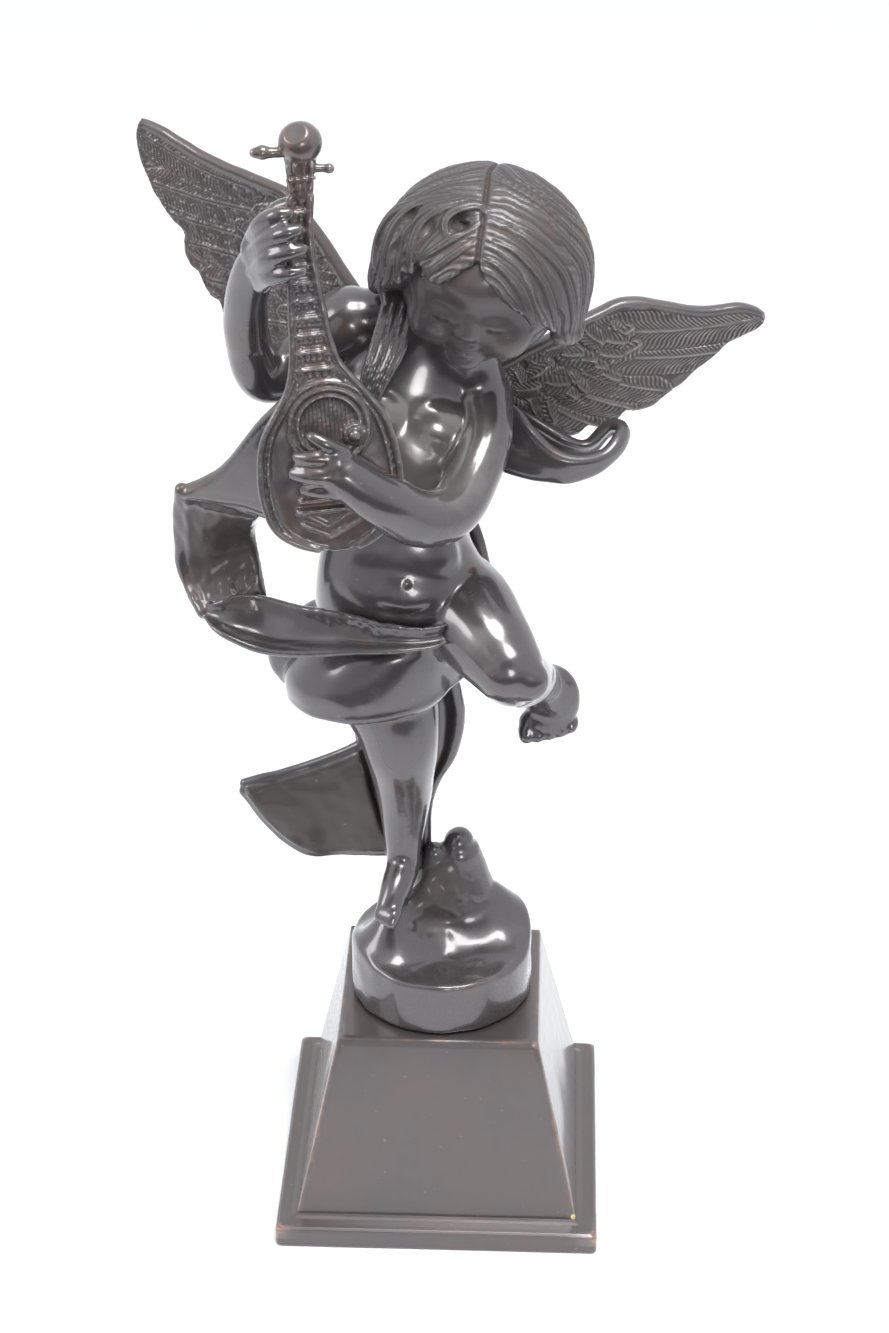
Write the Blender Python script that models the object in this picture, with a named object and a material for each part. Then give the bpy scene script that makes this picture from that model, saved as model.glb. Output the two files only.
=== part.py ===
"""Bronze statuette of a winged cherub playing a mandolin, on its tapered plinth.

+Z is up, the cherub faces -Y, and the origin is the centre of the plinth's underside.
The figure is laid out in parts of its own height, so one size scales all of it.
"""

import math

import bmesh
import bpy
import numpy as np
from mathutils import Euler, Vector

# Plinth, in metres
PLINTH_FOOT_WIDTH = 0.105
PLINTH_FOOT_HEIGHT = 0.0083
PLINTH_FOOT_CHAMFER = 0.0022
PLINTH_BLOCK_BASE_WIDTH = 0.092
PLINTH_BLOCK_TOP_WIDTH = 0.0645
PLINTH_BLOCK_HEIGHT = 0.061
PLINTH_EDGE_ROUNDING = 0.0009

# Figure, in metres
FIGURE_HEIGHT = 0.3028
FIGURE_PARTS = 302.8
SEAT_GAP = 0.0003
MOUND_MARGIN = 0.0028
CLOTH_THICKNESS = 0.0034
FEATHER_THICKNESS = 0.003
BODY_VOXEL = 0.0013
DETAIL_VOXEL = 0.00095
FIGURE_TRIANGLES = 9300

PLINTH_HEIGHT = PLINTH_FOOT_HEIGHT + PLINTH_BLOCK_HEIGHT
FIGURE_FOOT = Vector((0, 0, PLINTH_HEIGHT + SEAT_GAP))
PART = FIGURE_HEIGHT / FIGURE_PARTS
MOUND_RADIUS = (PLINTH_BLOCK_TOP_WIDTH / 2 - MOUND_MARGIN) / PART

BRONZE = {"colour": (0.055, 0.047, 0.043, 1), "roughness": 0.3, "metallic": 0.9}
PLINTH_BRONZE = {"colour": (0.06, 0.052, 0.047, 1), "roughness": 0.34, "metallic": 0.9}

# Stations of the torso: left side (x, z), right side (x, z), middle y and half depth
TORSO = [
    (-20, 112, 8, 116, 3, 12),
    (-36.5, 126, 14.5, 131, 3, 19),
    (-38.5, 141, 15.5, 143, 0, 21.5),
    (-37.5, 155, 13.5, 154, -1, 21),
    (-35, 169, 8.5, 166, 1, 18.5),
    (-32, 188, 11, 182, 2, 18),
    (-31, 207, 15, 194, 3, 17),
    (-28, 225, 14, 206, 5, 13),
    (-14, 234, 10, 219, 5, 10),
    (-5, 240, 12, 232, 2, 9),
]

# Limbs run through rows of x, y, z and radius
STANDING_LEG = [
    (-17, 3, 130, 19),
    (-17, 0, 114, 17.5),
    (-13.5, -4, 101, 13.8),
    (-12.3, -4.5, 92, 12),
    (-12, -1.5, 80, 9.9),
    (-12, 1, 70, 8.7),
    (-12.2, 1.5, 58, 6.8),
    (-12.2, 1, 49, 5.7),
]
STANDING_FOOT = [
    (-10.8, 4.5, 46, 5.2),
    (-12.6, -3, 45.4, 6),
    (-15.1, -10.5, 40.8, 5),
    (-16.8, -15, 38.2, 3.9),
]
RAISED_LEG = [
    (2, 3, 141, 17.5),
    (8.5, -8, 142, 16),
    (15.5, -19, 138.5, 13.6),
    (20.8, -26, 134.5, 11.4),
]
RAISED_SHIN = [
    (22, -25, 131, 9.8),
    (25.5, -14, 124, 9.2),
    (30, -1, 115.5, 7.6),
    (33, 9, 108.5, 6.4),
    (34.5, 13, 103, 6.6),
]
LEFT_ARM = [
    (11, 5, 208, 10.5),
    (13.2, -7, 200, 8.4),
    (9, -19, 191, 8),
    (3.5, -29, 186.6, 8.3),
    (-4.6, -36, 188, 8.4),
    (-12.8, -42, 195, 7.9),
    (-19.5, -46.3, 202, 6.6),
    (-25.3, -48, 206.8, 5.2),
]
RIGHT_ARM = [
    (-27, 7, 231, 11),
    (-36, 4, 225, 9),
    (-45.5, -1, 218, 8),
    (-52, -4, 218, 7.6),
    (-55, -8, 229, 6.9),
    (-55, -14, 244, 6.1),
    (-52.6, -20, 256.5, 4.9),
    (-49.5, -25, 264.5, 4.8),
]
SHOULDER_SLOPES = [
    [(-27, 7, 231, 9), (-10, 6, 234, 9), (4, 4, 233, 10)],
    [(11, 5, 208, 9), (9, 5, 219, 9), (7, 3, 229, 9)],
]
BUTTOCKS = [((-21, 13, 122), (15, 11, 15)), ((5, 13, 128), (14, 11, 15))]

# Hands: tubes for the fingers, ellipsoids for the palms
LEFT_HAND = [
    [(-26.5, -47.5, 206, 5.2), (-30.5, -48.5, 207.4, 4.2)],
    [(-29, -48.5, 210, 2.3), (-33.4, -50.4, 211.6, 2.2), (-38.1, -47, 208.9, 1.8)],
    [(-29, -48.8, 207, 2.3), (-33.8, -50.8, 207.4, 2.2), (-38.4, -47, 204.9, 1.8)],
    [(-29, -48.6, 204, 2.2), (-33.6, -50.2, 203.2, 2.1), (-38, -46.8, 200.7, 1.7)],
    [(-28, -48, 201.4, 2.1), (-32.4, -49.4, 199.4, 2), (-36, -46.6, 197, 1.6)],
    [(-27, -47.5, 209.5, 2.7), (-30.2, -48.6, 213.6, 2.4), (-34.2, -46.6, 217, 1.8)],
]
RIGHT_HAND = [
    [(-49.5, -25, 264, 4.8), (-47.5, -27, 269, 5.2)],
    [(-47.5, -28, 274.8, 2.7), (-43.5, -34, 277.6, 2.4), (-37, -38.5, 276.4, 2)],
    [(-47.5, -29, 270.4, 2.7), (-43, -36, 272.8, 2.4), (-36.2, -40, 271.6, 2)],
    [(-47.8, -30, 265.8, 2.7), (-43.2, -37, 267.8, 2.4), (-36, -41, 266.6, 2)],
    [(-48, -30, 261.4, 2.5), (-43.8, -37, 262.8, 2.2), (-36.6, -41, 261.6, 1.9)],
    [(-49, -22, 268, 3), (-44, -23, 276, 2.7), (-38, -25, 279, 2.2)],
]

# Edges of the cloth: each sheet runs between two rows of x, y, z
SASH_FLAP = (
    [(-42, -22, 222), (-53, -20, 210), (-64, -15, 194), (-76, -8, 183.5)],
    [(-42, -22, 184), (-49, -18, 180), (-58, -14, 181), (-75.5, -7, 181)],
)
SASH_PANEL = (
    [(-77, -9, 183), (-79.3, 2, 166), (-77.5, 2, 149), (-71, -9, 137)],
    [(-51, -16, 180), (-54.5, 6, 160), (-54, 3, 149), (-51.5, -10, 144)],
)
SASH_BAND = (
    [(-72.5, -8, 137.5), (-60, -19, 133.5), (-41, -27, 136), (-22, -32, 139), (1, -27, 136)],
    [(-52, -9, 146), (-47, -15, 147), (-37, -20, 147.5), (-23, -27, 145.5), (1, -24, 142)],
)
SASH_LOOP = (
    [(8, 13, 190), (16, 8, 183.6), (26, 4.5, 182), (37.5, 4, 181), (47.3, 7, 183.5),
     (53.2, 13, 188), (54, 18.5, 191.5), (50, 21, 190.5), (44, 18, 184.5), (35, 17, 184),
     (25, 19, 186), (12, 22, 189)],
    [(13, 12, 207), (22.5, 9, 204), (28, 5.5, 198.4), (34, 3, 193.2), (41, 3, 190.9),
     (48.2, 6, 191.4), (52.6, 12.5, 195), (50.6, 17, 196.5), (44, 14.5, 191.8), (36, 14, 191.8),
     (25, 17, 195), (12, 21, 200)],
)
BACK_SASH = (
    [(-34, 22, 216), (-29, 24, 196), (-22, 23, 178), (-12, 22, 162), (-2, 22, 148), (5, 18, 138)],
    [(-24, 23, 228), (-15, 24, 208), (-6, 23, 190), (3, 21, 174), (11, 18, 160), (15, 10, 148)],
)
SKIRT = [
    (-36, 132, 6, 136, 1, 23),
    (-41, 124, 5, 128, 0, 24.5),
    (-44, 116, 4, 120, 0, 25),
    (-41.5, 109.5, 3.5, 115, 0, 23),
    (-33, 108, -1, 112, 0, 18),
]
SKIRT_FOLD = [(-38, 8, 131, 7), (-47, 8, 122, 7), (-49, 7, 116, 5.5), (-46, 4, 111, 3)]
SIDE_DRAPE = (
    [(-6, 6, 130), (3, 2, 118), (6.5, 5, 101), (4.5, 8, 84), (-3, 10, 64), (-3, 9, 40)],
    [(-10, 14, 130), (-8, 14, 114), (-8, 14, 100), (-8, 13, 84), (-9, 12, 64), (-9, 10, 40)],
)
BACK_DRAPE = (
    [(-8, 15, 128), (-8, 15, 108), (-8, 14, 88), (-8, 12, 64), (-8, 10, 38)],
    [(-36, 12, 126), (-31, 13, 106), (-28, 14, 84), (-22, 12, 62), (-17, 8, 40)],
)
TRAILING_FLAP = (
    [(-26, 13, 83), (-35, 14, 78), (-50, 14.5, 71.5), (-64, 14.5, 66.5)],
    [(-16, 11, 44), (-26, 14, 42), (-36, 17, 40), (-44, 17, 39.5), (-54, 15.5, 47.5), (-64, 14, 64)],
)
SHOULDER_PLEATS = [
    [(-14, -1, 244, 1.8), (-15.5, -11, 240, 2), (-18, -16, 233, 2), (-21, -18, 224, 1.9), (-22, -19, 216, 1.6)],
    [(-11, -1, 245, 1.8), (-12, -12, 240, 2), (-14.4, -17, 232, 2), (-17.6, -19, 223, 1.9), (-19, -20, 215, 1.6)],
    [(-8, -2, 245, 1.8), (-8.6, -13, 238, 2), (-11, -17.5, 230, 1.9), (-14.4, -19, 222, 1.8), (-16, -20, 214, 1.5)],
]

# Rock under the foot: rises over a drum, each with its place and reach in shares of the
# drum's radius and its height, then the spurs
MOUND_DRUM = 18.6
MOUND_LUMPS = [
    ((-0.51, -0.24), (0.36, 0.31), 14.5),
    ((0.31, 0.31), (0.62, 0.38), 18),
    ((-0.12, 0.03), (0.3, 0.19), 14),
    ((0.17, 0.14), (0.24, 0.17), 10),
    ((0.07, -0.48), (0.58, 0.24), -1.8),
]
MOUND_SPURS = [
    [(13, 9, 28, 8.5), (11.4, 9, 38, 6.2), (9, 8.6, 46, 4.7), (7.2, 8, 52, 3.2), (6.6, 8, 54, 2)],
    [(-4, 5, 34, 5), (-3.4, 6, 43, 4), (-2.6, 6, 49, 2.4)],
]

# Mandolin: along its neck from the tail, half width, shift to the side and depth
MANDOLIN_TAIL = Vector((-26.4, -43.5, 181.1))
MANDOLIN_AXIS = Vector((-0.086, 0.118, 0.989))
MANDOLIN_FACE = Vector((0.123, -0.984, 0.128))
MANDOLIN_OUTLINE = [
    (0.3, 3, 0.2, 3),
    (1.3, 6.8, 0.8, 6),
    (4.2, 13, 1.3, 11),
    (9.3, 18.1, 1.4, 17),
    (18.5, 20.4, 1.2, 20),
    (28, 20.1, 1.2, 19.5),
    (36, 18.3, 1, 17),
    (42.2, 15.1, 0.5, 13),
    (49.3, 10.5, 0.8, 10),
    (57.5, 6.8, 2.3, 7),
    (70.8, 5.2, 2.9, 6),
    (91, 3.5, 2.9, 5),
    (107.3, 3.8, 1.1, 5),
]
SOUND_HOLE_AT = 37.6
SOUND_HOLE_SHIFT = -1.5
SOUND_HOLE_RADIUS = 11
FRETS = 9
FRET_FIRST, FRET_LAST = 53, 103

# Wings: root, direction of the span, direction from the leading to the trailing edge,
# then rows of distance along the span with the leading and the trailing edge there
LEFT_WING = (Vector((16, 20, 207)), Vector((0.941, 0.307, 0.139)), Vector((0.132, 0.043, -0.99)))
LEFT_WING_EDGES = [
    (-4, -6, 7), (4, -7, 9), (9, -8.5, 14), (13, -9.5, 21), (18, -10.6, 24), (23, -12.2, 24.6),
    (26.5, -13.2, 22.6), (31, -14.2, 24.4), (35, -15, 24.6), (39, -16, 21), (43, -16.2, 22),
    (48.5, -15, 21.6), (53, -13, 18.6), (58.2, -10.8, 16.6), (63, -8.6, 13.2), (68.5, -7, 10.2),
    (73, -6.4, 7), (79, -5.7, 5.4), (84, -3.2, 4), (86.6, -0.6, 1.2),
]
RIGHT_WING = (Vector((-27, 21, 228)), Vector((-0.754, 0.315, 0.577)), Vector((-0.555, 0.165, -0.815)))
RIGHT_WING_EDGES = [
    (-4, -5, 15), (2, -7, 22), (12, -9.6, 28), (20, -12, 31), (27, -13.6, 30), (31.5, -14.4, 31.8),
    (36, -15.2, 29), (40, -15.7, 29.6), (46, -13.6, 26.4), (50, -12, 26.2), (53.8, -10.6, 24),
    (57.6, -9, 19), (62, -7.6, 18.4), (67.5, -6, 16.8), (72, -5.2, 15.2), (76, -4.4, 12.6),
    (80, -3.8, 10.4), (84.6, -2.4, 6), (87.4, -1.2, 1),
]
WING_BOW = 4
FEATHER_PITCH = 6.5
FEATHER_SLANT = math.radians(17)
COVERT_REACH = 38

# Head, in its own frame: x to its side, -y to its front
HEAD_AT = Vector((12.8, -5.5, 253))
HEAD_TURN = Euler((math.radians(13), math.radians(11), math.radians(-9)), "YXZ")
SKULL = [
    ((0, 3, 0), (26, 26, 25)),
    ((0, -6.5, -4.5), (18.5, 17, 17)),
    ((0, -8.5, 6), (17, 15.5, 13)),
    ((-9, -14, -9.5), (9, 9, 9)),
    ((9, -14, -9.5), (9, 9, 9)),
    ((0, -18.2, -17.6), (5.8, 5.2, 5)),
]
FACE_BALLS = [
    ((-8, -21.2, -1.6), (4, 2.4, 2.2)),
    ((8, -21.2, -1.6), (4, 2.4, 2.2)),
    ((0, -22.6, -12), (3.6, 2.2, 1.5)),
    ((0, -22.2, -14.6), (2.8, 2.2, 1.5)),
]
FACE_RIDGES = [
    [(0, -22, 2.5, 1.4), (0, -24, -2, 1.6), (0, -25.6, -5.8, 2.2)],
    [(-12.5, -19, 4, 1), (-8, -22, 5.6, 1.3), (-3, -22.6, 4, 1.1)],
    [(12.5, -19, 4, 1), (8, -22, 5.6, 1.3), (3, -22.6, 4, 1.1)],
]
HAIR_CENTRE = Vector((0, 3, -2))
HAIR_RADII = Vector((31.6, 31.5, 29.4))
HAIR_BELL = 3.2
LOCKS = 11
LOCK_DEPTH = 0.022


def placed(point):
    """A point of the figure's own parts as a place in the statuette, in metres."""
    return FIGURE_FOOT + Vector(point) * PART


def smooth_rows(rows, steps):
    """Rows of numbers with `steps` rows to each gap, on a Catmull-Rom curve through them."""
    rows = np.array(rows, float)
    padded = np.vstack([2 * rows[0] - rows[1], rows, 2 * rows[-1] - rows[-2]])
    found = []
    for i in range(1, len(padded) - 2):
        a, b, c, d = padded[i - 1 : i + 3]
        for t in np.arange(steps) / steps:
            found.append(
                0.5 * (2 * b + (c - a) * t + (2 * a - 5 * b + 4 * c - d) * t**2
                       + (3 * b - a - 3 * c + d) * t**3)
            )
    return np.array([*found, rows[-1]])


def solid_from_rings(name, rings):
    """A closed solid through rings of points, each end closed to its middle."""
    shape = bmesh.new()
    loops = [[shape.verts.new(placed(p)) for p in ring] for ring in rings]
    count = len(loops[0])
    for low, high in zip(loops, loops[1:]):
        for i in range(count):
            j = (i + 1) % count
            shape.faces.new((low[i], low[j], high[j], high[i]))
    for loop in (loops[0], loops[-1]):
        middle = shape.verts.new(sum((v.co for v in loop), Vector()) / count)
        for i in range(count):
            shape.faces.new((loop[i], loop[(i + 1) % count], middle))
    bmesh.ops.recalc_face_normals(shape, faces=shape.faces)
    mesh = bpy.data.meshes.new(name)
    shape.to_mesh(mesh)
    shape.free()
    made = bpy.data.objects.new(name, mesh)
    bpy.context.scene.collection.objects.link(made)
    return made


def ellipse(centre, across, along, sides):
    turns = [2 * math.pi * i / sides for i in range(sides)]
    return [centre + across * math.cos(a) + along * math.sin(a) for a in turns]


def tube(name, rows, sides=16, steps=5):
    """A limb, finger or fold: a round bar with domed ends through rows of x, y, z and radius."""
    rows = smooth_rows(rows, steps)
    points = [Vector(row[:3]) for row in rows]
    radii = [row[3] for row in rows]
    ahead = [(b - a).normalized() for a, b in zip(points, points[1:])]
    ahead = [ahead[0], *[(a + b).normalized() for a, b in zip(ahead, ahead[1:])], ahead[-1]]
    side = ahead[0].orthogonal().normalized()
    rings = []
    for point, radius, way in zip(points, radii, ahead):
        side = (side - way * side.dot(way)).normalized()
        rings.append(ellipse(point, side * radius, way.cross(side) * radius, sides))
    for end, way, radius in ((0, -ahead[0], radii[0]), (-1, ahead[-1], radii[-1])):
        middle = points[end]
        base = rings[end]
        for angle in (0.5, 1.0, 1.35):
            shrunk = [
                middle + way * radius * math.sin(angle) + (p - middle) * math.cos(angle) for p in base
            ]
            rings.insert(0, shrunk) if end == 0 else rings.append(shrunk)
    return solid_from_rings(name, rings)


def ball(name, centre, radii, turn=Euler()):
    shape = bmesh.new()
    bmesh.ops.create_uvsphere(shape, u_segments=24, v_segments=16, radius=1)
    mesh = bpy.data.meshes.new(name)
    for vert in shape.verts:
        offset = Vector(a * b for a, b in zip(vert.co, radii))
        offset.rotate(turn)
        vert.co = placed(Vector(centre) + offset)
    shape.to_mesh(mesh)
    shape.free()
    made = bpy.data.objects.new(name, mesh)
    bpy.context.scene.collection.objects.link(made)
    return made


def barrel(name, rows, sides=32):
    """A trunk of elliptical sections: rows of left x, z, right x, z, middle y and half depth."""
    rings = []
    for left_x, left_z, right_x, right_z, y, depth in smooth_rows(rows, 4):
        left, right = Vector((left_x, y, left_z)), Vector((right_x, y, right_z))
        rings.append(ellipse((left + right) / 2, (right - left) / 2, Vector((0, depth, 0)), sides))
    return solid_from_rings(name, rings)


def evened(rows, count):
    """A smooth row of points, taken at `count` even places."""
    rows = smooth_rows(rows, 8)
    places = np.linspace(0, len(rows) - 1, count)
    return np.column_stack([np.interp(places, np.arange(len(rows)), column) for column in rows.T])


def sheet(name, edges, bulge=0.0, across=9):
    """Cast cloth between two edges, with rounded rims, bowed by `bulge` parts in the middle."""
    thickness = CLOTH_THICKNESS / PART
    count = 5 * max(len(edge) for edge in edges)
    first, second = (evened(edge, count) for edge in edges)
    middles = (first + second) / 2
    rings = []
    for i, (a, b) in enumerate(zip(first, second)):
        a, b = Vector(a), Vector(b)
        way = Vector(middles[min(i + 1, len(middles) - 1)] - middles[max(i - 1, 0)]).normalized()
        normal = way.cross(b - a).normalized()
        front, back = [], []
        for k in range(across):
            share = k / (across - 1)
            bow = normal * bulge * math.sin(math.pi * share)
            half = thickness / 2 * max(0.3, math.sqrt(math.sin(math.pi * share)) if 0 < k < across - 1 else 0.3)
            point = a.lerp(b, share) + bow
            front.append(point + normal * half)
            back.append(point - normal * half)
        rings.append(front + back[::-1])
    return solid_from_rings(name, rings)


def outline_row(along):
    """Half width, sideways shift and depth of the mandolin at a distance from its tail."""
    rows = smooth_rows(MANDOLIN_OUTLINE, 6)
    return [float(np.interp(along, rows[:, 0], rows[:, i])) for i in (1, 2, 3)]


def on_mandolin(along, side, above):
    across = MANDOLIN_FACE.cross(MANDOLIN_AXIS)
    return MANDOLIN_TAIL + MANDOLIN_AXIS * along + across * side + MANDOLIN_FACE * above


def mandolin():
    """The mandolin: bowl, neck, rim, sound hole ring, frets, bridge, tailpiece and peg head."""
    made = []
    rings = []
    for along, half, shift, depth in smooth_rows(MANDOLIN_OUTLINE, 5):
        ring = []
        for i in range(28):
            angle = 2 * math.pi * i / 28
            rise = math.sin(angle)
            above = 0.6 * rise if rise > 0 else depth * rise
            ring.append(on_mandolin(along, shift + half * math.cos(angle), above))
        rings.append(ring)
    made.append(solid_from_rings("mandolin_bowl", rings))
    rim_rows = [row for row in smooth_rows(MANDOLIN_OUTLINE, 3) if 1 < row[0] < 62]
    for sign in (-1, 1):
        rim = [
            (*on_mandolin(along, shift + sign * (half - 1), 0.4), 1.15)
            for along, half, shift, _ in rim_rows
        ]
        made.append(tube("mandolin_rim", rim, sides=8, steps=1))
    turns = [2 * math.pi * i / 28 for i in range(29)]
    ring = [
        (*on_mandolin(SOUND_HOLE_AT + SOUND_HOLE_RADIUS * math.cos(a),
                      SOUND_HOLE_SHIFT + SOUND_HOLE_RADIUS * math.sin(a), 0.5), 1.1)
        for a in turns
    ]
    made.append(tube("sound_hole_ring", ring, sides=8, steps=1))
    for i in range(FRETS):
        along = FRET_FIRST + (FRET_LAST - FRET_FIRST) * i / (FRETS - 1)
        half, shift, _ = outline_row(along)
        ends = [(*on_mandolin(along, shift + sign * (half - 1.2), 0.8), 0.9) for sign in (-1, 1)]
        made.append(tube("fret", ends, sides=8, steps=2))
    bridge = [(*on_mandolin(13.4, side, 0.6), 1.5) for side in (-4, 10)]
    made.append(tube("bridge", bridge, sides=8, steps=2))
    tail = [(*on_mandolin(*place, 0.5), 1.1) for place in ((10, 10.5), (4.8, 4.6), (10, -4))]
    made.append(tube("tailpiece", tail, sides=8, steps=3))
    head = [(*on_mandolin(*row[:3]), row[3]) for row in ((105, 1, -2, 3.8), (113, 0.4, -2, 4.2))]
    made.append(tube("peg_head", head, sides=12, steps=3))
    made.append(ball("finial", on_mandolin(117.8, 0, -1), (6, 5.6, 5.8)))
    for along, start, end in ((116.2, 4, 12.4), (110.2, -3, -6.8)):
        peg = [(*on_mandolin(along, side, -1), radius) for side, radius in ((start, 1.6), (end, 1.9))]
        made.append(tube("peg", peg, sides=10, steps=2))
    return made


def wing(name, place, edges):
    """A wing: one plate, ridged along its leading edge, with overlapping feathers in relief."""
    root, span, chord = place
    out = span.cross(chord).normalized()
    if out.y > 0:
        out = -out
    thin = FEATHER_THICKNESS / PART / 2
    rings = []
    for along, leading, trailing in smooth_rows(edges, 3):
        front, back = [], []
        for k in range(17):
            share = k / 16
            down = leading + (trailing - leading) * (0.5 - 0.5 * math.cos(math.pi * share))
            across = down * math.cos(FEATHER_SLANT) - along * math.sin(FEATHER_SLANT)
            step = (across / FEATHER_PITCH) % 1
            covert = 0.8 if along < COVERT_REACH - 9 * abs(step - 0.5) else 0
            ridge = 2.8 * math.exp(-(((down - leading) / 4.5) ** 2)) * (1 - 0.8 * max(0, along) / 88)
            rim = min(1, 0.35 + 2.2 * math.sqrt(share * (1 - share)))
            thick = rim * (thin + ridge + 0.9 * step + covert)
            bow = -WING_BOW * math.sin(math.pi * min(1, max(0, along / 88)))
            middle = root + span * along + chord * down + out * bow
            front.append(middle + out * thick)
            back.append(middle - out * rim * (thin + ridge * 0.6))
        rings.append(front + back[::-1])
    return [solid_from_rings(name, rings)]


def in_head(point):
    turned = Vector(point)
    turned.rotate(HEAD_TURN)
    return HEAD_AT + turned


def hair_relief(way):
    """How far the hair stands out along a direction from its centre, as a share of its radius."""
    power = 2 if way.z > 0 else HAIR_BELL
    bell = (math.hypot(way.x, way.y) ** power + abs(way.z) ** power) ** (-1 / power)
    window = (way.x / 0.56) ** 2 + ((way.z + 0.3) / 0.86) ** 2
    open_face = min(1, max(0, (1.12 - window) * 5)) if way.y < 0 else 0
    open_neck = min(1, max(0, (-0.5 - way.z) * 5))
    cover = (1 - open_face) * (1 - open_neck)
    parting = 0.05 * math.exp(-((way.x / 0.05) ** 2)) * (way.z > 0)
    comb = way.y + 0.5 * abs(way.x) ** 2 * (way.y < 0.2)
    locks = LOCK_DEPTH * math.sin(2 * math.pi * LOCKS * comb / 2) * min(1, 4 * abs(way.x))
    return bell * (0.8 + (0.2 + locks - parting) * cover)


def hair():
    """The cap of hair: a ball that stands out where hair covers the skull, with combed locks."""
    shape = bmesh.new()
    bmesh.ops.create_uvsphere(shape, u_segments=96, v_segments=64, radius=1)
    for vert in shape.verts:
        way = vert.co.normalized()
        far = hair_relief(way)
        offset = Vector(a * b * far for a, b in zip(way, HAIR_RADII))
        vert.co = placed(in_head(HAIR_CENTRE + offset))
    mesh = bpy.data.meshes.new("hair")
    shape.to_mesh(mesh)
    shape.free()
    made = bpy.data.objects.new("hair", mesh)
    bpy.context.scene.collection.objects.link(made)
    return made


def mound_height(x, y):
    """Height of the rock at a place given in shares of the drum's radius."""
    rises = (
        rise * math.exp(-(((x - at[0]) / reach[0]) ** 2) - ((y - at[1]) / reach[1]) ** 2)
        for at, reach, rise in MOUND_LUMPS
    )
    return MOUND_DRUM + sum(rises)


def mound():
    """The rock: a drum seated on the plinth, its uneven top, and spurs."""
    rings = []
    wall = ((0.985, 0), (1, 0.06), (1, 0.5), (1, 0.9), (0.985, 0.97), (0.955, 1))
    inside = [(0.95 - 0.075 * i, 1) for i in range(1, 13)]
    for share, rise in (*wall, *inside):
        ring = []
        for i in range(64):
            angle = 2 * math.pi * i / 64
            x, y = share * math.cos(angle), share * math.sin(angle)
            ring.append(Vector((MOUND_RADIUS * x, MOUND_RADIUS * y, mound_height(x, y) * rise)))
        rings.append(ring)
    return [solid_from_rings("drum", rings), *(tube("spur", rows, sides=14) for rows in MOUND_SPURS)]


def joined(objects, name):
    bpy.ops.object.select_all(action="DESELECT")
    for made in objects:
        made.select_set(True)
    bpy.context.view_layer.objects.active = objects[0]
    bpy.ops.object.join()
    whole = bpy.context.view_layer.objects.active
    whole.name = name
    return whole


def fused(whole, voxel, smoothing):
    """One skin over shapes that overlap, with the creases between them softened."""
    remesh = whole.modifiers.new("Fuse", "REMESH")
    remesh.mode = "VOXEL"
    remesh.voxel_size = voxel
    smooth = whole.modifiers.new("Soften", "SMOOTH")
    smooth.factor = 0.5
    smooth.iterations = smoothing
    bpy.context.view_layer.objects.active = whole
    for modifier in list(whole.modifiers):
        bpy.ops.object.modifier_apply(modifier=modifier.name)
    return whole


def keep_largest_shell(whole):
    """Removes closed pockets, so that the casting is one skin."""
    shape = bmesh.new()
    shape.from_mesh(whole.data)
    left = set(shape.verts)
    shells = []
    while left:
        found, edge = set(), [left.pop()]
        while edge:
            vert = edge.pop()
            found.add(vert)
            near = [e.other_vert(vert) for e in vert.link_edges]
            fresh = [v for v in near if v in left]
            left.difference_update(fresh)
            edge.extend(fresh)
        shells.append(found)
    largest = max(shells, key=len)
    spare = [v for shell in shells if shell is not largest for v in shell]
    bmesh.ops.delete(shape, geom=spare, context="VERTS")
    shape.to_mesh(whole.data)
    shape.free()


def finish(made, look):
    stuff = bpy.data.materials.new(made.name)
    stuff.use_nodes = True
    shader = stuff.node_tree.nodes["Principled BSDF"]
    shader.inputs["Base Color"].default_value = look["colour"]
    shader.inputs["Roughness"].default_value = look["roughness"]
    shader.inputs["Metallic"].default_value = look["metallic"]
    made.data.materials.clear()
    made.data.materials.append(stuff)


def body_shapes():
    """The nude body that the creases between are softened over."""
    made = [barrel("torso", TORSO)]
    limbs = {
        "standing_leg": STANDING_LEG,
        "standing_foot": STANDING_FOOT,
        "raised_leg": RAISED_LEG,
        "raised_shin": RAISED_SHIN,
        "left_arm": LEFT_ARM,
        "right_arm": RIGHT_ARM,
    }
    made += [tube(name, rows, sides=24) for name, rows in limbs.items()]
    made += [tube("shoulder_slope", rows) for rows in SHOULDER_SLOPES]
    made += [ball("buttock", centre, radii) for centre, radii in BUTTOCKS]
    made += [ball("skull", in_head(centre), radii, HEAD_TURN) for centre, radii in SKULL]
    made.append(ball("raised_foot", (34.6, 15.5, 96.5), (8, 5.4, 11.5)))
    made.append(barrel("skirt", SKIRT))
    made.append(tube("skirt_fold", SKIRT_FOLD))
    return made


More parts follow.
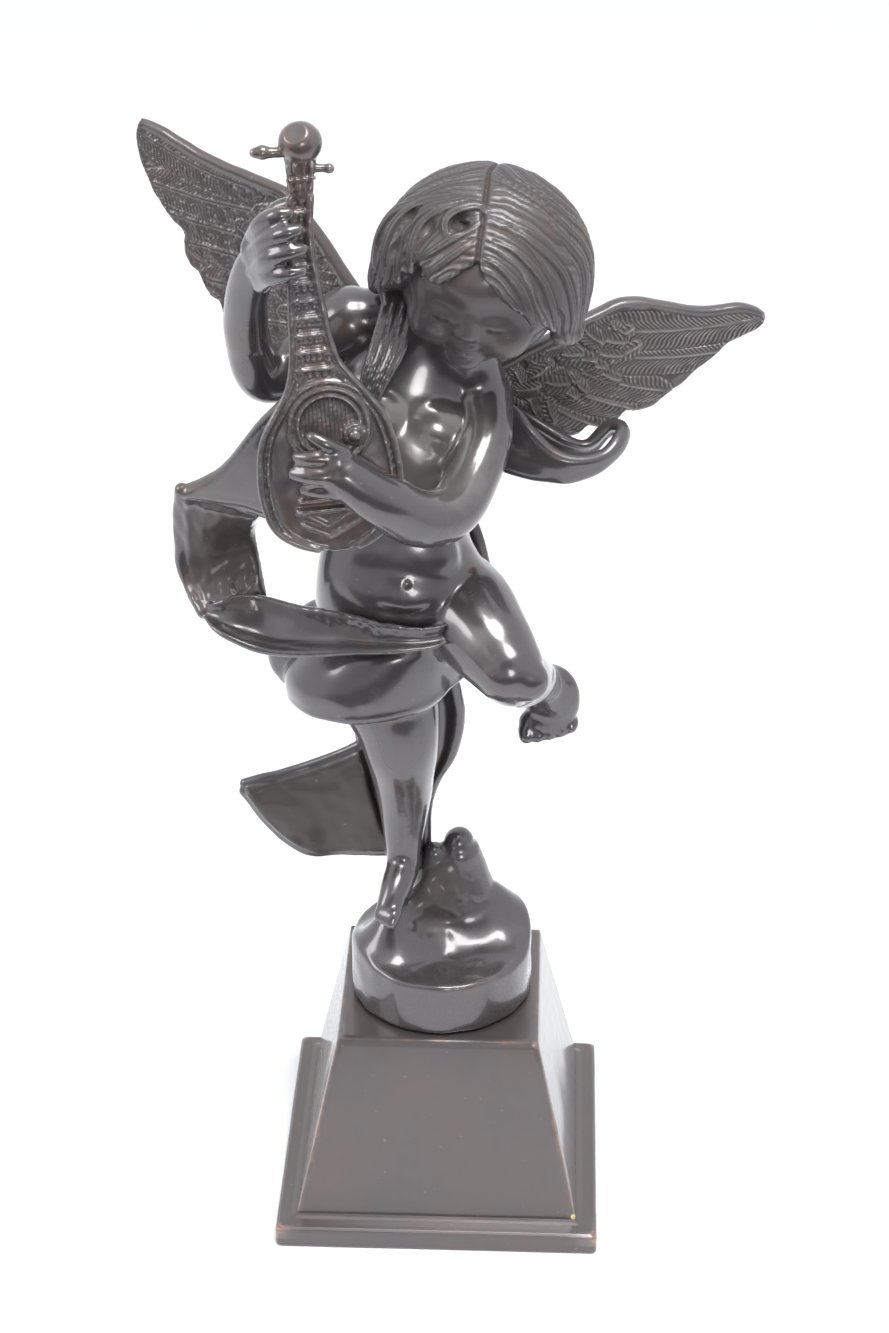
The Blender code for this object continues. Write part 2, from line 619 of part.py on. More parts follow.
def detail_shapes():
    """What stays crisp: hands, toes, face, hair, cloth, wings and mandolin."""
    made = [tube("finger", rows, sides=10) for rows in LEFT_HAND + RIGHT_HAND]
    for i in range(5):
        share = i / 4
        size = 2.9 - 1.1 * share
        made.append(ball("raised_toe", (28.2 + 12.6 * share, 15.5, 87.6 + 3.2 * share * share), (size,) * 3))
        made.append(ball("standing_toe", (-14.8 - 4.6 * share, -17.8 + 2.5 * share, 36.6 + 0.6 * share), (size - 0.7,) * 3))
    made += [ball("face", in_head(centre), radii, HEAD_TURN) for centre, radii in FACE_BALLS]
    for ridge in FACE_RIDGES:
        made.append(tube("face", [(*in_head(row[:3]), row[3]) for row in ridge], sides=12))
    made.append(hair())
    made.append(sheet("sash_flap", SASH_FLAP, bulge=1))
    made.append(sheet("sash_panel", SASH_PANEL, bulge=2))
    made.append(sheet("sash_band", SASH_BAND, bulge=-3))
    made.append(sheet("sash_loop", SASH_LOOP))
    made.append(sheet("back_sash", BACK_SASH))
    made.append(sheet("side_drape", SIDE_DRAPE))
    made.append(sheet("back_drape", BACK_DRAPE))
    made.append(sheet("trailing_flap", TRAILING_FLAP, bulge=3))
    made += [tube("shoulder_pleat", rows, sides=10) for rows in SHOULDER_PLEATS]
    made += mound()
    made += mandolin()
    made += wing("left_wing", LEFT_WING, LEFT_WING_EDGES)
    made += wing("right_wing", RIGHT_WING, RIGHT_WING_EDGES)
    return made


def cherub():
    """The figure with its rock, wings, cloth and mandolin, cast in one."""
    body = fused(joined(body_shapes(), "body"), BODY_VOXEL, 6)
    figure = fused(joined([body, *detail_shapes()], "cherub"), DETAIL_VOXEL, 2)
    keep_largest_shell(figure)
    thin = figure.modifiers.new("Facets", "DECIMATE")
    thin.ratio = FIGURE_TRIANGLES / (2 * len(figure.data.polygons))
    bpy.ops.object.modifier_apply(modifier=thin.name)
    finish(figure, BRONZE)
    return figure


def square(shape, width, height):
    half = width / 2
    corners = ((-half, -half), (half, -half), (half, half), (-half, half))
    return [shape.verts.new((x, y, height)) for x, y in corners]


def plinth():
    """The plinth: a chamfered square foot under a tapered block."""
    shape = bmesh.new()
    chamfer_at = PLINTH_FOOT_HEIGHT - PLINTH_FOOT_CHAMFER
    foot_top = PLINTH_FOOT_WIDTH - 2 * PLINTH_FOOT_CHAMFER
    sections = (
        (PLINTH_FOOT_WIDTH, 0),
        (PLINTH_FOOT_WIDTH, chamfer_at),
        (foot_top, PLINTH_FOOT_HEIGHT),
        (PLINTH_BLOCK_BASE_WIDTH, PLINTH_FOOT_HEIGHT),
        (PLINTH_BLOCK_TOP_WIDTH, PLINTH_HEIGHT),
    )
    rings = [square(shape, width, height) for width, height in sections]
    for low, high in zip(rings, rings[1:]):
        for i in range(4):
            j = (i + 1) % 4
            shape.faces.new((low[i], low[j], high[j], high[i]))
    shape.faces.new(rings[0][::-1])
    shape.faces.new(rings[-1])
    mesh = bpy.data.meshes.new("plinth")
    shape.to_mesh(mesh)
    shape.free()
    made = bpy.data.objects.new("plinth", mesh)
    bpy.context.scene.collection.objects.link(made)
    rounding = made.modifiers.new("Rounding", "BEVEL")
    rounding.width = PLINTH_EDGE_ROUNDING
    rounding.segments = 2
    rounding.limit_method = "ANGLE"
    rounding.angle_limit = math.radians(20)
    finish(made, PLINTH_BRONZE)
    return made


for old in list(bpy.data.objects):
    bpy.data.objects.remove(old)
cherub()
plinth()
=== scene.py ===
import math

import bpy
import numpy as np
from mathutils import Euler, Matrix, Vector


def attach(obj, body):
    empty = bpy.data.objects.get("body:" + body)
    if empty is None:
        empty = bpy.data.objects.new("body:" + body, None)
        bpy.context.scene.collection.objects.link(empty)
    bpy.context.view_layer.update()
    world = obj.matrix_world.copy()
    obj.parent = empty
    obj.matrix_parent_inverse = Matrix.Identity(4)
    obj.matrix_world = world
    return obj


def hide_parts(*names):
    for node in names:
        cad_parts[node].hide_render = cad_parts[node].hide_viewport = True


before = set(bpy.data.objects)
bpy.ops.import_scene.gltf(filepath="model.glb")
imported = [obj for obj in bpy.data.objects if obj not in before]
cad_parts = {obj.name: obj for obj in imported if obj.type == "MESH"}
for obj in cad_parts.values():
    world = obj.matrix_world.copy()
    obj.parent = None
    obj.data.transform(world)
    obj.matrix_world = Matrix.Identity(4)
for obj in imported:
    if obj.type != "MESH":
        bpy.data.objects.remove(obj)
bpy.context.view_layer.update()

# The figure is laid out in millimetres above its seat, x to its left hand, -y to its front,
# and goes to metres in its place on the plinth when a piece is finished
toMetres = 0.001
seatHeight = 69.6


def only(piece):
    for other in bpy.context.selected_objects:
        other.select_set(False)
    if piece:
        piece.select_set(True)
        bpy.context.view_layer.objects.active = piece
    return piece


def named(name):
    piece = bpy.context.active_object
    piece.name = name
    return piece


def join(pieces, name):
    only(None)
    for piece in pieces:
        piece.select_set(True)
    bpy.context.view_layer.objects.active = pieces[0]
    bpy.ops.object.join()
    return named(name)


def apply(piece, kind, **settings):
    only(piece)
    modifier = piece.modifiers.new(kind.title(), kind)
    for setting, value in settings.items():
        setattr(modifier, setting, value)
    bpy.ops.object.modifier_apply(modifier=modifier.name)
    return piece


def editMesh(piece, *steps):
    only(piece)
    bpy.ops.object.mode_set(mode="EDIT")
    bpy.ops.mesh.select_all(action="SELECT")
    for step, settings in steps:
        step(**settings)
    bpy.ops.object.mode_set(mode="OBJECT")
    return piece


def pointsOf(piece):
    flat = np.empty(len(piece.data.vertices) * 3)
    piece.data.vertices.foreach_get("co", flat)
    return flat.reshape(-1, 3)


def normalsOf(piece):
    flat = np.empty(len(piece.data.vertices) * 3)
    piece.data.vertices.foreach_get("normal", flat)
    return flat.reshape(-1, 3)


def movePoints(piece, points):
    piece.data.vertices.foreach_set("co", np.ascontiguousarray(points, float).ravel())
    piece.data.update()
    return piece


def push(piece, heights):
    return movePoints(piece, pointsOf(piece) + normalsOf(piece) * heights[:, None])


def smoothRows(rows, steps):
    rows = np.array(rows, float)
    padded = np.vstack([2 * rows[0] - rows[1], rows, 2 * rows[-1] - rows[-2]])
    t = (np.arange(steps) / steps)[:, None]
    found = []
    for a, b, c, d in zip(padded, padded[1:], padded[2:], padded[3:]):
        found.append(0.5 * (2 * b + (c - a) * t + (2 * a - 5 * b + 4 * c - d) * t**2
                            + (3 * b - a - 3 * c + d) * t**3))
    return np.vstack([*found, rows[-1]])


def along(rows, places):
    # a smooth row of numbers, read at shares of its length
    rows = smoothRows(rows, 10)
    at = np.clip(places, 0, 1) * (len(rows) - 1)
    return np.stack([np.interp(at, np.arange(len(rows)), column) for column in rows.T], axis=-1)


def step(value, low, high):
    share = np.clip((value - low) / (high - low), 0, 1)
    return share * share * (3 - 2 * share)


def swell(away, width):
    # a soft bump: 1 at its middle, fading over its width
    return np.exp(-((away / width) ** 2))


def around(points, centre, radii):
    # the same bump round a place
    return np.exp(-(((points - centre) / radii) ** 2).sum(1))


def rounded(share):
    # the height of a rounded edge, from 0 at the edge to 1 where the share reaches 1
    return np.sqrt(1 - (1 - np.clip(share, 0, 1)) ** 2)


def ripple(points, size, seed, waves=18):
    # soft uneven heights, the same every run, with lumps of about the given size
    chance = np.random.default_rng(seed)
    total = np.zeros(len(points))
    for _ in range(waves):
        way = chance.normal(size=3)
        way *= 2 * math.pi / size * chance.uniform(0.6, 1.4) / np.linalg.norm(way)
        total += np.sin(points @ way + chance.uniform(0, 2 * math.pi))
    return total / math.sqrt(waves)


def distanceTo(points, rows, reach):
    # distance to a smooth line through the rows, and the share of its length that is nearest
    line = smoothRows(rows, 12)[:, :3]
    low, high = line.min(0) - reach, line.max(0) + reach
    near = np.flatnonzero(((points > low) & (points < high)).all(1))
    found, share = np.full(len(points), 1e3), np.zeros(len(points))
    for part in np.array_split(near, max(1, len(near) // 20000)):
        gaps = np.linalg.norm(points[part, None] - line[None], axis=2)
        found[part] = gaps.min(1)
        share[part] = gaps.argmin(1) / (len(line) - 1)
    return found, share


def carve(piece, rows, width, depth):
    # presses a soft groove along a line, or raises a fold where the depth is negative
    distance, share = distanceTo(pointsOf(piece), rows, 4 * width)
    fade = np.clip(6 * share * (1 - share) + 0.25, 0, 1)
    return push(piece, -depth * fade * swell(distance, width))


def dab(piece, centre, radii, height):
    # raises a soft round swelling, or presses a hollow where the height is negative
    return push(piece, height * around(pointsOf(piece), centre, radii))


def bar(rows, steps=6, sides=4, name="bar"):
    # a round bar with domed ends through rows of x, y, z and radius
    rows = smoothRows(rows, steps)

    def dome(end, before):
        way = (end[:3] - before[:3]) / np.linalg.norm(end[:3] - before[:3])
        return [[*(end[:3] + way * end[3] * math.sin(a)), end[3] * math.cos(a)] for a in (0.4, 0.8, 1.15, 1.4)]

    rows = [*dome(rows[0], rows[1])[::-1], *rows, *dome(rows[-1], rows[-2])]
    curve = bpy.data.curves.new(name, "CURVE")
    curve.dimensions = "3D"
    curve.bevel_depth = 1
    curve.bevel_resolution = sides
    curve.use_fill_caps = True
    spline = curve.splines.new("POLY")
    spline.points.add(len(rows) - 1)
    for point, row in zip(spline.points, rows):
        point.co = (*row[:3], 1)
        point.radius = row[3]
    piece = bpy.data.objects.new(name, curve)
    bpy.context.scene.collection.objects.link(piece)
    only(piece)
    bpy.ops.object.convert(target="MESH")
    return bpy.context.active_object


def ball(centre, radii, turn=(0, 0, 0), segments=36, name="ball"):
    only(None)
    bpy.ops.mesh.primitive_uv_sphere_add(
        segments=segments, ring_count=segments // 2, radius=1, location=centre, rotation=turn, scale=radii)
    bpy.ops.object.transform_apply(location=True, rotation=True, scale=True)
    return named(name)


def shaped(name, segments, rings, shaper):
    # a ball whose points are sent elsewhere by their latitude (0 to 1) and turn (radians)
    only(None)
    bpy.ops.mesh.primitive_uv_sphere_add(segments=segments, ring_count=rings, radius=1)
    piece = named(name)
    at = pointsOf(piece)
    latitude = np.arccos(np.clip(at[:, 2], -1, 1)) / math.pi
    return movePoints(piece, shaper(latitude, np.arctan2(at[:, 1], at[:, 0]), at))


def trunk(rows, name="trunk"):
    # a body of elliptical sections: rows of left x, z, right x, z, middle y and half depth
    def shaper(latitude, turn, at):
        row = along(rows, (latitude - 0.04) / 0.92)
        size = rounded(np.minimum(latitude, 1 - latitude) / 0.04)
        cos, sin = np.cos(turn) * size, np.sin(turn) * size
        x = (row[:, 0] + row[:, 2]) / 2 + (row[:, 2] - row[:, 0]) / 2 * cos
        z = (row[:, 1] + row[:, 3]) / 2 + (row[:, 3] - row[:, 1]) / 2 * cos
        return np.column_stack([x, row[:, 4] + row[:, 5] * sin, z])
    return shaped(name, 72, 60, shaper)


def plate(name, columns, rows, shaper):
    # a closed plate from one grid wrapped round it: the shaper gets the share of the length,
    # the share across and the side (1 front, -1 back), and gives the points
    only(None)
    bpy.ops.mesh.primitive_grid_add(x_subdivisions=columns, y_subdivisions=2 * rows, size=2)
    piece = named(name)
    at = pointsOf(piece)
    length, round_ = (at[:, 0] + 1) / 2, (at[:, 1] + 1) / 2
    movePoints(piece, shaper(length, 1 - np.abs(2 * round_ - 1), np.where(round_ < 0.5, 1, -1)))
    editMesh(piece, (bpy.ops.mesh.remove_doubles, {"threshold": 0.004}),
             (bpy.ops.mesh.normals_make_consistent, {"inside": False}))
    return piece


def cloth(name, edges, thick=1.7, rim=1.0, bow=0.0, folds=()):
    # cast cloth between two edges, with thick rolled rims; folds are rows of where across,
    # width and height
    def shaper(length, across, side):
        first, second = along(edges[0], length), along(edges[1], length)
        ahead = along(edges[0], length + 0.01) + along(edges[1], length + 0.01)
        behind = along(edges[0], length - 0.01) + along(edges[1], length - 0.01)
        wide = np.linalg.norm(second - first, axis=1)
        normal = np.cross(ahead - behind, second - first)
        normal /= np.maximum(np.linalg.norm(normal, axis=1), 1e-6)[:, None]
        gap = np.minimum(across, 1 - across) * wide
        ends = np.minimum(length, 1 - length) * 60
        half = (thick + rim * swell(gap - 2.2, 1.7)) * rounded(gap / 2)
        half *= rounded(ends / 2)
        lift = bow * np.sin(math.pi * across)
        for where, width, height in folds:
            lift = lift + height * swell(across - where, width) * np.sin(math.pi * length) ** 0.5
        return first + (second - first) * across[:, None] + normal * (lift + half * side)[:, None]
    return plate(name, 60, 24, shaper)


def fuse(pieces, name, voxel, smoothing):
    # one skin over shapes that overlap, with the creases between them softened
    piece = join(pieces, name)
    apply(piece, "REMESH", mode="VOXEL", voxel_size=voxel)
    if smoothing:
        apply(piece, "SMOOTH", factor=0.5, iterations=smoothing)
    keepOutside(piece)
    return piece


def keepOutside(piece):
    # drops closed pockets inside the skin: the largest shell is the one that shows
    size = len(piece.data.vertices)
    ends = np.empty(len(piece.data.edges) * 2, np.int64)
    piece.data.edges.foreach_get("vertices", ends)
    ends = ends.reshape(-1, 2)
    label = np.arange(size)
    while True:
        low = label.copy()
        np.minimum.at(low, ends[:, 0], label[ends[:, 1]])
        np.minimum.at(low, ends[:, 1], label[ends[:, 0]])
        low = low[low]
        if (low == label).all():
            break
        label = low
    shells, counts = np.unique(label, return_counts=True)
    if len(shells) > 1:
        spare = ~np.isin(label, shells[counts > 400])
        piece.data.polygons.foreach_set("select", np.zeros(len(piece.data.polygons), bool))
        piece.data.edges.foreach_set("select", np.zeros(len(piece.data.edges), bool))
        piece.data.vertices.foreach_set("select", spare)
        only(piece)
        bpy.ops.object.mode_set(mode="EDIT")
        bpy.ops.mesh.select_mode(type="VERT")
        bpy.ops.object.mode_set(mode="OBJECT")
        piece.data.vertices.foreach_set("select", spare)
        bpy.ops.object.mode_set(mode="EDIT")
        bpy.ops.mesh.delete(type="VERT")
        bpy.ops.object.mode_set(mode="OBJECT")


def markRelief(piece, rounds, wearAndPaintedLight, gain):
    # how far each point stands out from its neighbours, kept on the piece for worn crests
    # and dull hollows; the added amount lays painted highlights and painted shade on some pieces
    at, normals = pointsOf(piece), normalsOf(piece)
    ends = np.empty(len(piece.data.edges) * 2, np.int64)
    piece.data.edges.foreach_get("vertices", ends)
    one, two = ends.reshape(-1, 2).T
    size = len(at)
    count = np.maximum(np.bincount(one, minlength=size) + np.bincount(two, minlength=size), 1)

    def spread(values):
        total = np.bincount(one, values[two], size) + np.bincount(two, values[one], size)
        return total / count

    middle = np.column_stack([spread(at[:, i]) for i in range(3)])
    gap = np.linalg.norm(at[one] - at[two], axis=1)
    squared = (np.bincount(one, gap**2, size) + np.bincount(two, gap**2, size)) / count
    relief = 2 * ((at - middle) * normals).sum(1) / np.maximum(squared, 1e-6)
    for _ in range(rounds):
        relief = 0.5 * relief + 0.5 * spread(relief)
    layer = piece.data.attributes.new("relief", "FLOAT", "POINT")
    layer.data.foreach_set("value", np.clip(relief * gain + wearAndPaintedLight, -3, 3).astype(np.float32))


def settle(piece, look, node, rounds=6, wearAndPaintedLight=0.0, gain=1.0):
    # the finished piece: place, smooth faces, material, and what it stands for; the added
    # relief is raised for worn faces and painted highlights, and lowered for rough, dull faces and painted
    # shade
    markRelief(piece, rounds, wearAndPaintedLight, gain)
    at = pointsOf(piece)
    at[:, 2] += seatHeight
    movePoints(piece, at * toMetres)
    only(piece)
    bpy.ops.object.shade_smooth()
    piece.data.materials.clear()
    piece.data.materials.append(look)
    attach(piece, "root")
    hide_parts(node)
    print("finished", piece.name, len(piece.data.polygons), "faces")
    return piece


class Value:
    # a socket that plain arithmetic works on
    def __init__(self, tree, socket):
        self.tree, self.socket = tree, socket

    def math(self, operation, other=0.0, swap=False):
        made = self.tree.nodes.new("ShaderNodeMath")
        made.operation = operation
        sides = (other, self) if swap else (self, other)
        for slot, side in zip(made.inputs, sides):
            if isinstance(side, Value):
                self.tree.links.new(side.socket, slot)
            else:
                slot.default_value = side
        return Value(self.tree, made.outputs[0])

    def __add__(self, other):
        return self.math("ADD", other)

    def __sub__(self, other):
        return self.math("SUBTRACT", other)

    def __mul__(self, other):
        return self.math("MULTIPLY", other)

    def __radd__(self, other):
        return self.math("ADD", other, True)

    def __rsub__(self, other):
        return self.math("SUBTRACT", other, True)

    def __rmul__(self, other):
        return self.math("MULTIPLY", other, True)

    def clamp(self):
        made = self.math("ADD")
        made.socket.node.use_clamp = True
        return made


class Finish:
    # a material under construction
    def __init__(self, name):
        self.made = bpy.data.materials.new(name)
        self.made.use_nodes = True
        self.tree = self.made.node_tree
        self.shader = self.tree.nodes["Principled BSDF"]

    def node(self, kind, settings=None, output=0, **inputs):
        made = self.tree.nodes.new("ShaderNode" + kind)
        for setting, value in (settings or {}).items():
            setattr(made, setting, value)
        for slot, value in inputs.items():
            # i0, i1 and so on are sockets by number, where names repeat
            place = made.inputs[int(slot[1:]) if slot[1:].isdigit() else slot]
            if isinstance(value, Value):
                self.tree.links.new(value.socket, place)
            else:
                place.default_value = value
        return Value(self.tree, made.outputs[output])

    def place(self):
        return self.node("TexCoord", output=3)

    def noise(self, scale, detail):
        return self.node("TexNoise", Vector=self.place(), Scale=scale, Detail=detail, Roughness=0.55)

    def range(self, value, low, high):
        smooth = {"interpolation_type": "SMOOTHSTEP"}
        return self.node("MapRange", smooth, i0=value, i1=low, i2=high, i3=0.0, i4=1.0)

    def blend(self, share, first, second):
        made = self.tree.nodes.new("ShaderNodeMix")
        made.data_type = "RGBA"
        self.tree.links.new(share.socket, made.inputs[0])
        for slot, value in ((made.inputs[6], first), (made.inputs[7], second)):
            if isinstance(value, Value):
                self.tree.links.new(value.socket, slot)
            else:
                slot.default_value = (*value, 1)
        return Value(self.tree, made.outputs[2])

    def feed(self, slot, value):
        if isinstance(value, Value):
            self.tree.links.new(value.socket, self.shader.inputs[slot])
        else:
            self.shader.inputs[slot].default_value = value


bronze = {
    "dark": (0.080, 0.074, 0.077),
    "brown": (0.112, 0.080, 0.072),
    "dustAndShade": (0.050, 0.037, 0.034),
    "copper": (0.36, 0.17, 0.11),
    "bright": (0.26, 0.24, 0.235),
    "brass": (0.75, 0.55, 0.25),
    "metallic": 0.5,
}


def patina(name, brown=0.5, wear=1.0, roughness=0.3, pits=0.0, copper=0.0, spread=0.2, coat=0.8, nick=None):
    # dark waxed bronze: brown showing through, hollows dull, crests rubbed bright or copper; the relief it
    # reads also carries the painted highlights and painted shade that some pieces add, and these same blends
    # paint them
    made = Finish(name)
    relief = made.node("Attribute", {"attribute_name": "relief"}, output=2)
    cloud = made.noise(38, 4)
    fine = made.noise(240, 3)
    middle = 0.76 - 0.3 * brown
    browning = made.range(cloud * 0.7 + fine * 0.3, middle - spread / 2, middle + spread / 2)
    colour = made.blend(browning, bronze["dark"], bronze["brown"])
    hollowAndShade = made.range(relief, -0.12, -0.9)
    colour = made.blend((hollowAndShade * 0.8).clamp(), colour, bronze["dustAndShade"])
    crestAndHighlight = made.range(relief + (fine - 0.5) * 0.5, 0.25, 1.2)
    colour = made.blend((crestAndHighlight * 0.7 * wear).clamp(), colour, bronze["bright"])
    if copper:
        uneven = (made.noise(120, 4) - 0.5) * 2.2
        worn = made.range(relief + uneven, 1.0 - 0.4 * copper, 2.0 - 0.4 * copper)
        colour = made.blend((worn * 0.8).clamp(), colour, bronze["copper"])
    specks = made.range(made.noise(620, 1), 0.74, 0.8)
    colour = made.blend((specks * 0.3).clamp(), colour, bronze["bright"])
    if nick:
        gap = made.node("VectorMath", {"operation": "DISTANCE"}, output=1, i0=made.place(), i1=nick)
        colour = made.blend(made.range(gap + (fine - 0.5) * 0.001, 0.0013, 0.0007), colour, bronze["brass"])
    made.feed("Base Color", colour)
    made.feed("Metallic", bronze["metallic"] - hollowAndShade * 0.3)
    made.feed("Roughness", (roughness + (fine - 0.5) * 0.14 + hollowAndShade * 0.22 - crestAndHighlight * 0.05).clamp())
    made.feed("Coat Weight", (coat - hollowAndShade * 0.6).clamp())
    made.feed("Coat Roughness", 0.1)
    made.feed("Coat IOR", 1.5)
    height = made.noise(1500, 2) * 0.12
    if pits:
        holes = made.range(made.noise(950, 1), 0.56, 0.7)
        height = height - holes * pits
    made.feed("Normal", made.node("Bump", Strength=0.4, Distance=0.0002, Height=height))
    return made.made


skinLook = patina("figureBronze", brown=0.45, roughness=0.25)
headLook = patina("headBronze", brown=0.45, roughness=0.47, spread=0.4, coat=0.3)
hairLook = patina("hairBronze", brown=0.5, roughness=0.43, wear=1.0, coat=0.2)
clothLook = patina("clothBronze", brown=0.6, roughness=0.3, wear=0.8)
wingLook = patina("wingBronze", brown=0.45, roughness=0.46, wear=1.0, pits=0.6, spread=0.5)
woodLook = patina("mandolinBronze", brown=0.7, roughness=0.36, wear=1.4)
rockLook = patina("rockBronze", brown=0.35, roughness=0.28, copper=0.5)
baseLook = patina("plinthBronze", brown=0.6, roughness=0.34, wear=0.6, copper=1.0, spread=0.7,
                  nick=(0.0448, -0.0458, 0.0094))
print("materials ready")

body = {
    "torso": [
        (-20, 112, 8, 116, 3, 12), (-36.5, 126, 14.5, 131, 3, 19), (-38.5, 141, 15.5, 143, 0, 21.5),
        (-37.5, 155, 13.5, 154, -1, 21), (-35, 169, 8.5, 166, 1, 18.5), (-32, 188, 11, 182, 2, 18),
        (-31, 207, 15, 194, 3, 17), (-28, 225, 14, 206, 5, 13), (-14, 234, 10, 219, 5, 10),
        (-5, 240, 12, 232, 2, 9),
    ],
    "limbs": [
        [(-17, 3, 130, 19), (-17, 0, 114, 17.5), (-13.5, -4, 101, 13.8), (-12.3, -4.5, 92, 12),
         (-12, -1.5, 80, 9.9), (-12, 1, 70, 8.7), (-12.2, 1.5, 58, 6.8), (-12.2, 0.6, 50.5, 5.8),
         (-12.6, -1.6, 45.5, 5.4)],
        [(-10.8, 4.5, 46, 5.2), (-12.8, -2.8, 45.2, 5.5), (-15.1, -10.5, 40.8, 5), (-16.8, -14, 38.6, 3.9)],
        [(2, 3, 141, 17.5), (8.5, -8, 142, 16), (15.5, -19, 138.5, 13.6), (20.8, -26, 134.5, 11.4)],
        [(22, -25, 131, 9.8), (25.5, -14, 124, 9.2), (29, -1, 115.5, 7.4), (32, 7, 110, 6.2),
         (33.6, 9, 104, 5.2)],
        [(11, 5, 208, 10.5), (13.2, -7, 200, 8.6), (9, -19, 191, 8.2), (3.5, -29, 186.6, 8.5),
         (-4.6, -35.5, 188, 8.7), (-12.8, -41, 195, 8.3), (-19.5, -44, 201, 7.5), (-25, -45, 206, 7.0)],
        [(-27, 7, 231, 11), (-36, 4, 225, 9), (-45.5, -1, 218, 8), (-52, -4, 218, 7.6),
         (-55, -8, 229, 6.9), (-55, -14, 243, 6.5), (-52.2, -20.5, 255.5, 6.1), (-49.5, -25.5, 263, 5.4)],
        [(-27, 7, 231, 9), (-10, 6, 234, 9), (4, 4, 233, 10)],
        [(11, 5, 208, 9), (9, 5, 219, 9), (7, 3, 229, 9)],
        [(-38, 8, 131, 7), (-47, 8, 122, 7), (-49, 7, 116, 5.5), (-46, 4, 111, 3)],
    ],
    # centre, radii and turn
    "swellings": [
        ((-21, 13, 122), (15, 11, 15)), ((5, 13, 128), (14, 11, 15)),
        ((-11.5, -11, 161), (18, 8.5, 17)),
        ((-20, -7.5, 205), (13, 7, 12)), ((-3, -6.5, 202), (12, 7, 11)),
        ((34.6, 9.5, 104), (9.4, 4.4, 13.4), (0.2, 0, -0.12)),
        ((33.6, 11.8, 93.4), (10, 4.8, 6)),
        ((27.5, -31, 132.5), (6.5, 5, 7)),
    ],
    "skirt": [
        (-37, 133, 6, 136, 1, 23), (-44, 125, 5, 128, 0, 24), (-48.4, 118, 4.4, 121, 0, 24.6),
        (-48.6, 112.5, 4.2, 115.8, 0, 24.4), (-47.2, 109.6, 3.4, 113, 0, 23.8),
    ],
    "fingers": [
        [(-27, -45.6, 211, 4.4), (-28.4, -46, 206.6, 4.8), (-27, -45.6, 202.4, 4.4)],
        [(-26, -46.5, 212, 2.3), (-33.7, -48, 212.3, 2.3), (-38.2, -46.5, 211.9, 1.9)],
        [(-26, -48, 206.8, 2.9), (-33.8, -48.6, 207.3, 2.8), (-38.8, -46.8, 207, 2.4)],
        [(-25, -47, 202, 2.8), (-31.7, -47.6, 202.3, 2.6), (-36.3, -46, 201.8, 2.1)],
        [(-25.2, -45.6, 213.2, 2.4), (-29.8, -47.4, 216.4, 2.1), (-33.6, -47, 218.3, 1.6),
         (-35.2, -46, 218.5, 1.0)],
        [(-49.5, -25, 261, 5.0), (-49.8, -26, 266, 4.8)],
        [(-50, -26, 269, 3.4), (-47.2, -33, 275.6, 3.0), (-42.9, -36.6, 279.4, 2.6),
         (-39.7, -36.6, 280.2, 2.0)],
        [(-50.5, -28, 264.4, 3.4), (-45.4, -36.4, 272, 3.0), (-40.6, -40, 275.6, 2.5),
         (-37.1, -39.6, 276.6, 1.9)],
        [(-49.3, -30, 260.5, 3.2), (-44.8, -38.4, 267.8, 2.8), (-39.5, -41, 270.6, 2.4),
         (-35.8, -40.2, 271.2, 1.8)],
        [(-48.3, -30, 257, 3.0), (-44.5, -37.4, 262, 2.6), (-39.8, -40.8, 264.4, 2.2),
         (-36, -40.2, 264.8, 1.7)],
        [(-49, -22, 268, 3.2), (-44, -23, 276, 2.8), (-38, -25, 279, 2.3)],
    ],
    "creases": [
        ([(-19, -20, 152), (-14.9, -22, 150.2), (-9.7, -23, 149.4), (-4.8, -21, 150),
          (-1.7, -18, 152)], 2.0, 0.6),
        ([(3.5, -19, 147.5), (1.4, -19.5, 142), (1.4, -18.5, 136), (4.5, -16, 128.0)], 1.5, 1.8),
        ([(0.5, -16, 206.4), (4.0, -15.5, 212.6), (7.6, -13, 216.5), (12.6, -11, 216.4)], 1.1, 1.5),
        ([(-11.1, -17, 198.3), (-6.8, -17.5, 194.2), (0.6, -17, 195.6), (4.4, -14, 201)], 1.1, 0.9),
        ([(-9.5, -16, 216.8), (-5.7, -17, 209.4), (-1.4, -17, 204.7)], 1.3, 1.0),
        ([(-2, -42, 184), (-1, -34, 196)], 1.2, 0.5),
        ([(-60, -10, 229), (-52, -14, 228)], 1.2, 0.6),
        ([(-19.7, -25, 137), (-21.8, -26.5, 128), (-22.4, -26.5, 116)], 2.2, -1.1),
    ],
    "navel": {"x": -9.2, "z": 158.6, "ring": 1.7, "ringWidth": 0.6, "ringHeight": 0.1,
              "pit": 0.85, "depth": 0.5},
    # painted highlights: the bronze made brighter where the chest, belly, forearm, shoulder and thigh catch
    # the light
    "paintedHighlights": [
        ((-9, -15, 202), (19, 10, 18), 2.2), ((-12, -20, 160), (20, 12, 20), 0.4),
        ((3, -30, 196), (14, 10, 7), 0.9),
        ((12, -4, 206), (6, 14, 12), 0.7), ((14, -26, 144), (9, 12, 9), 0.7),
    ],
}


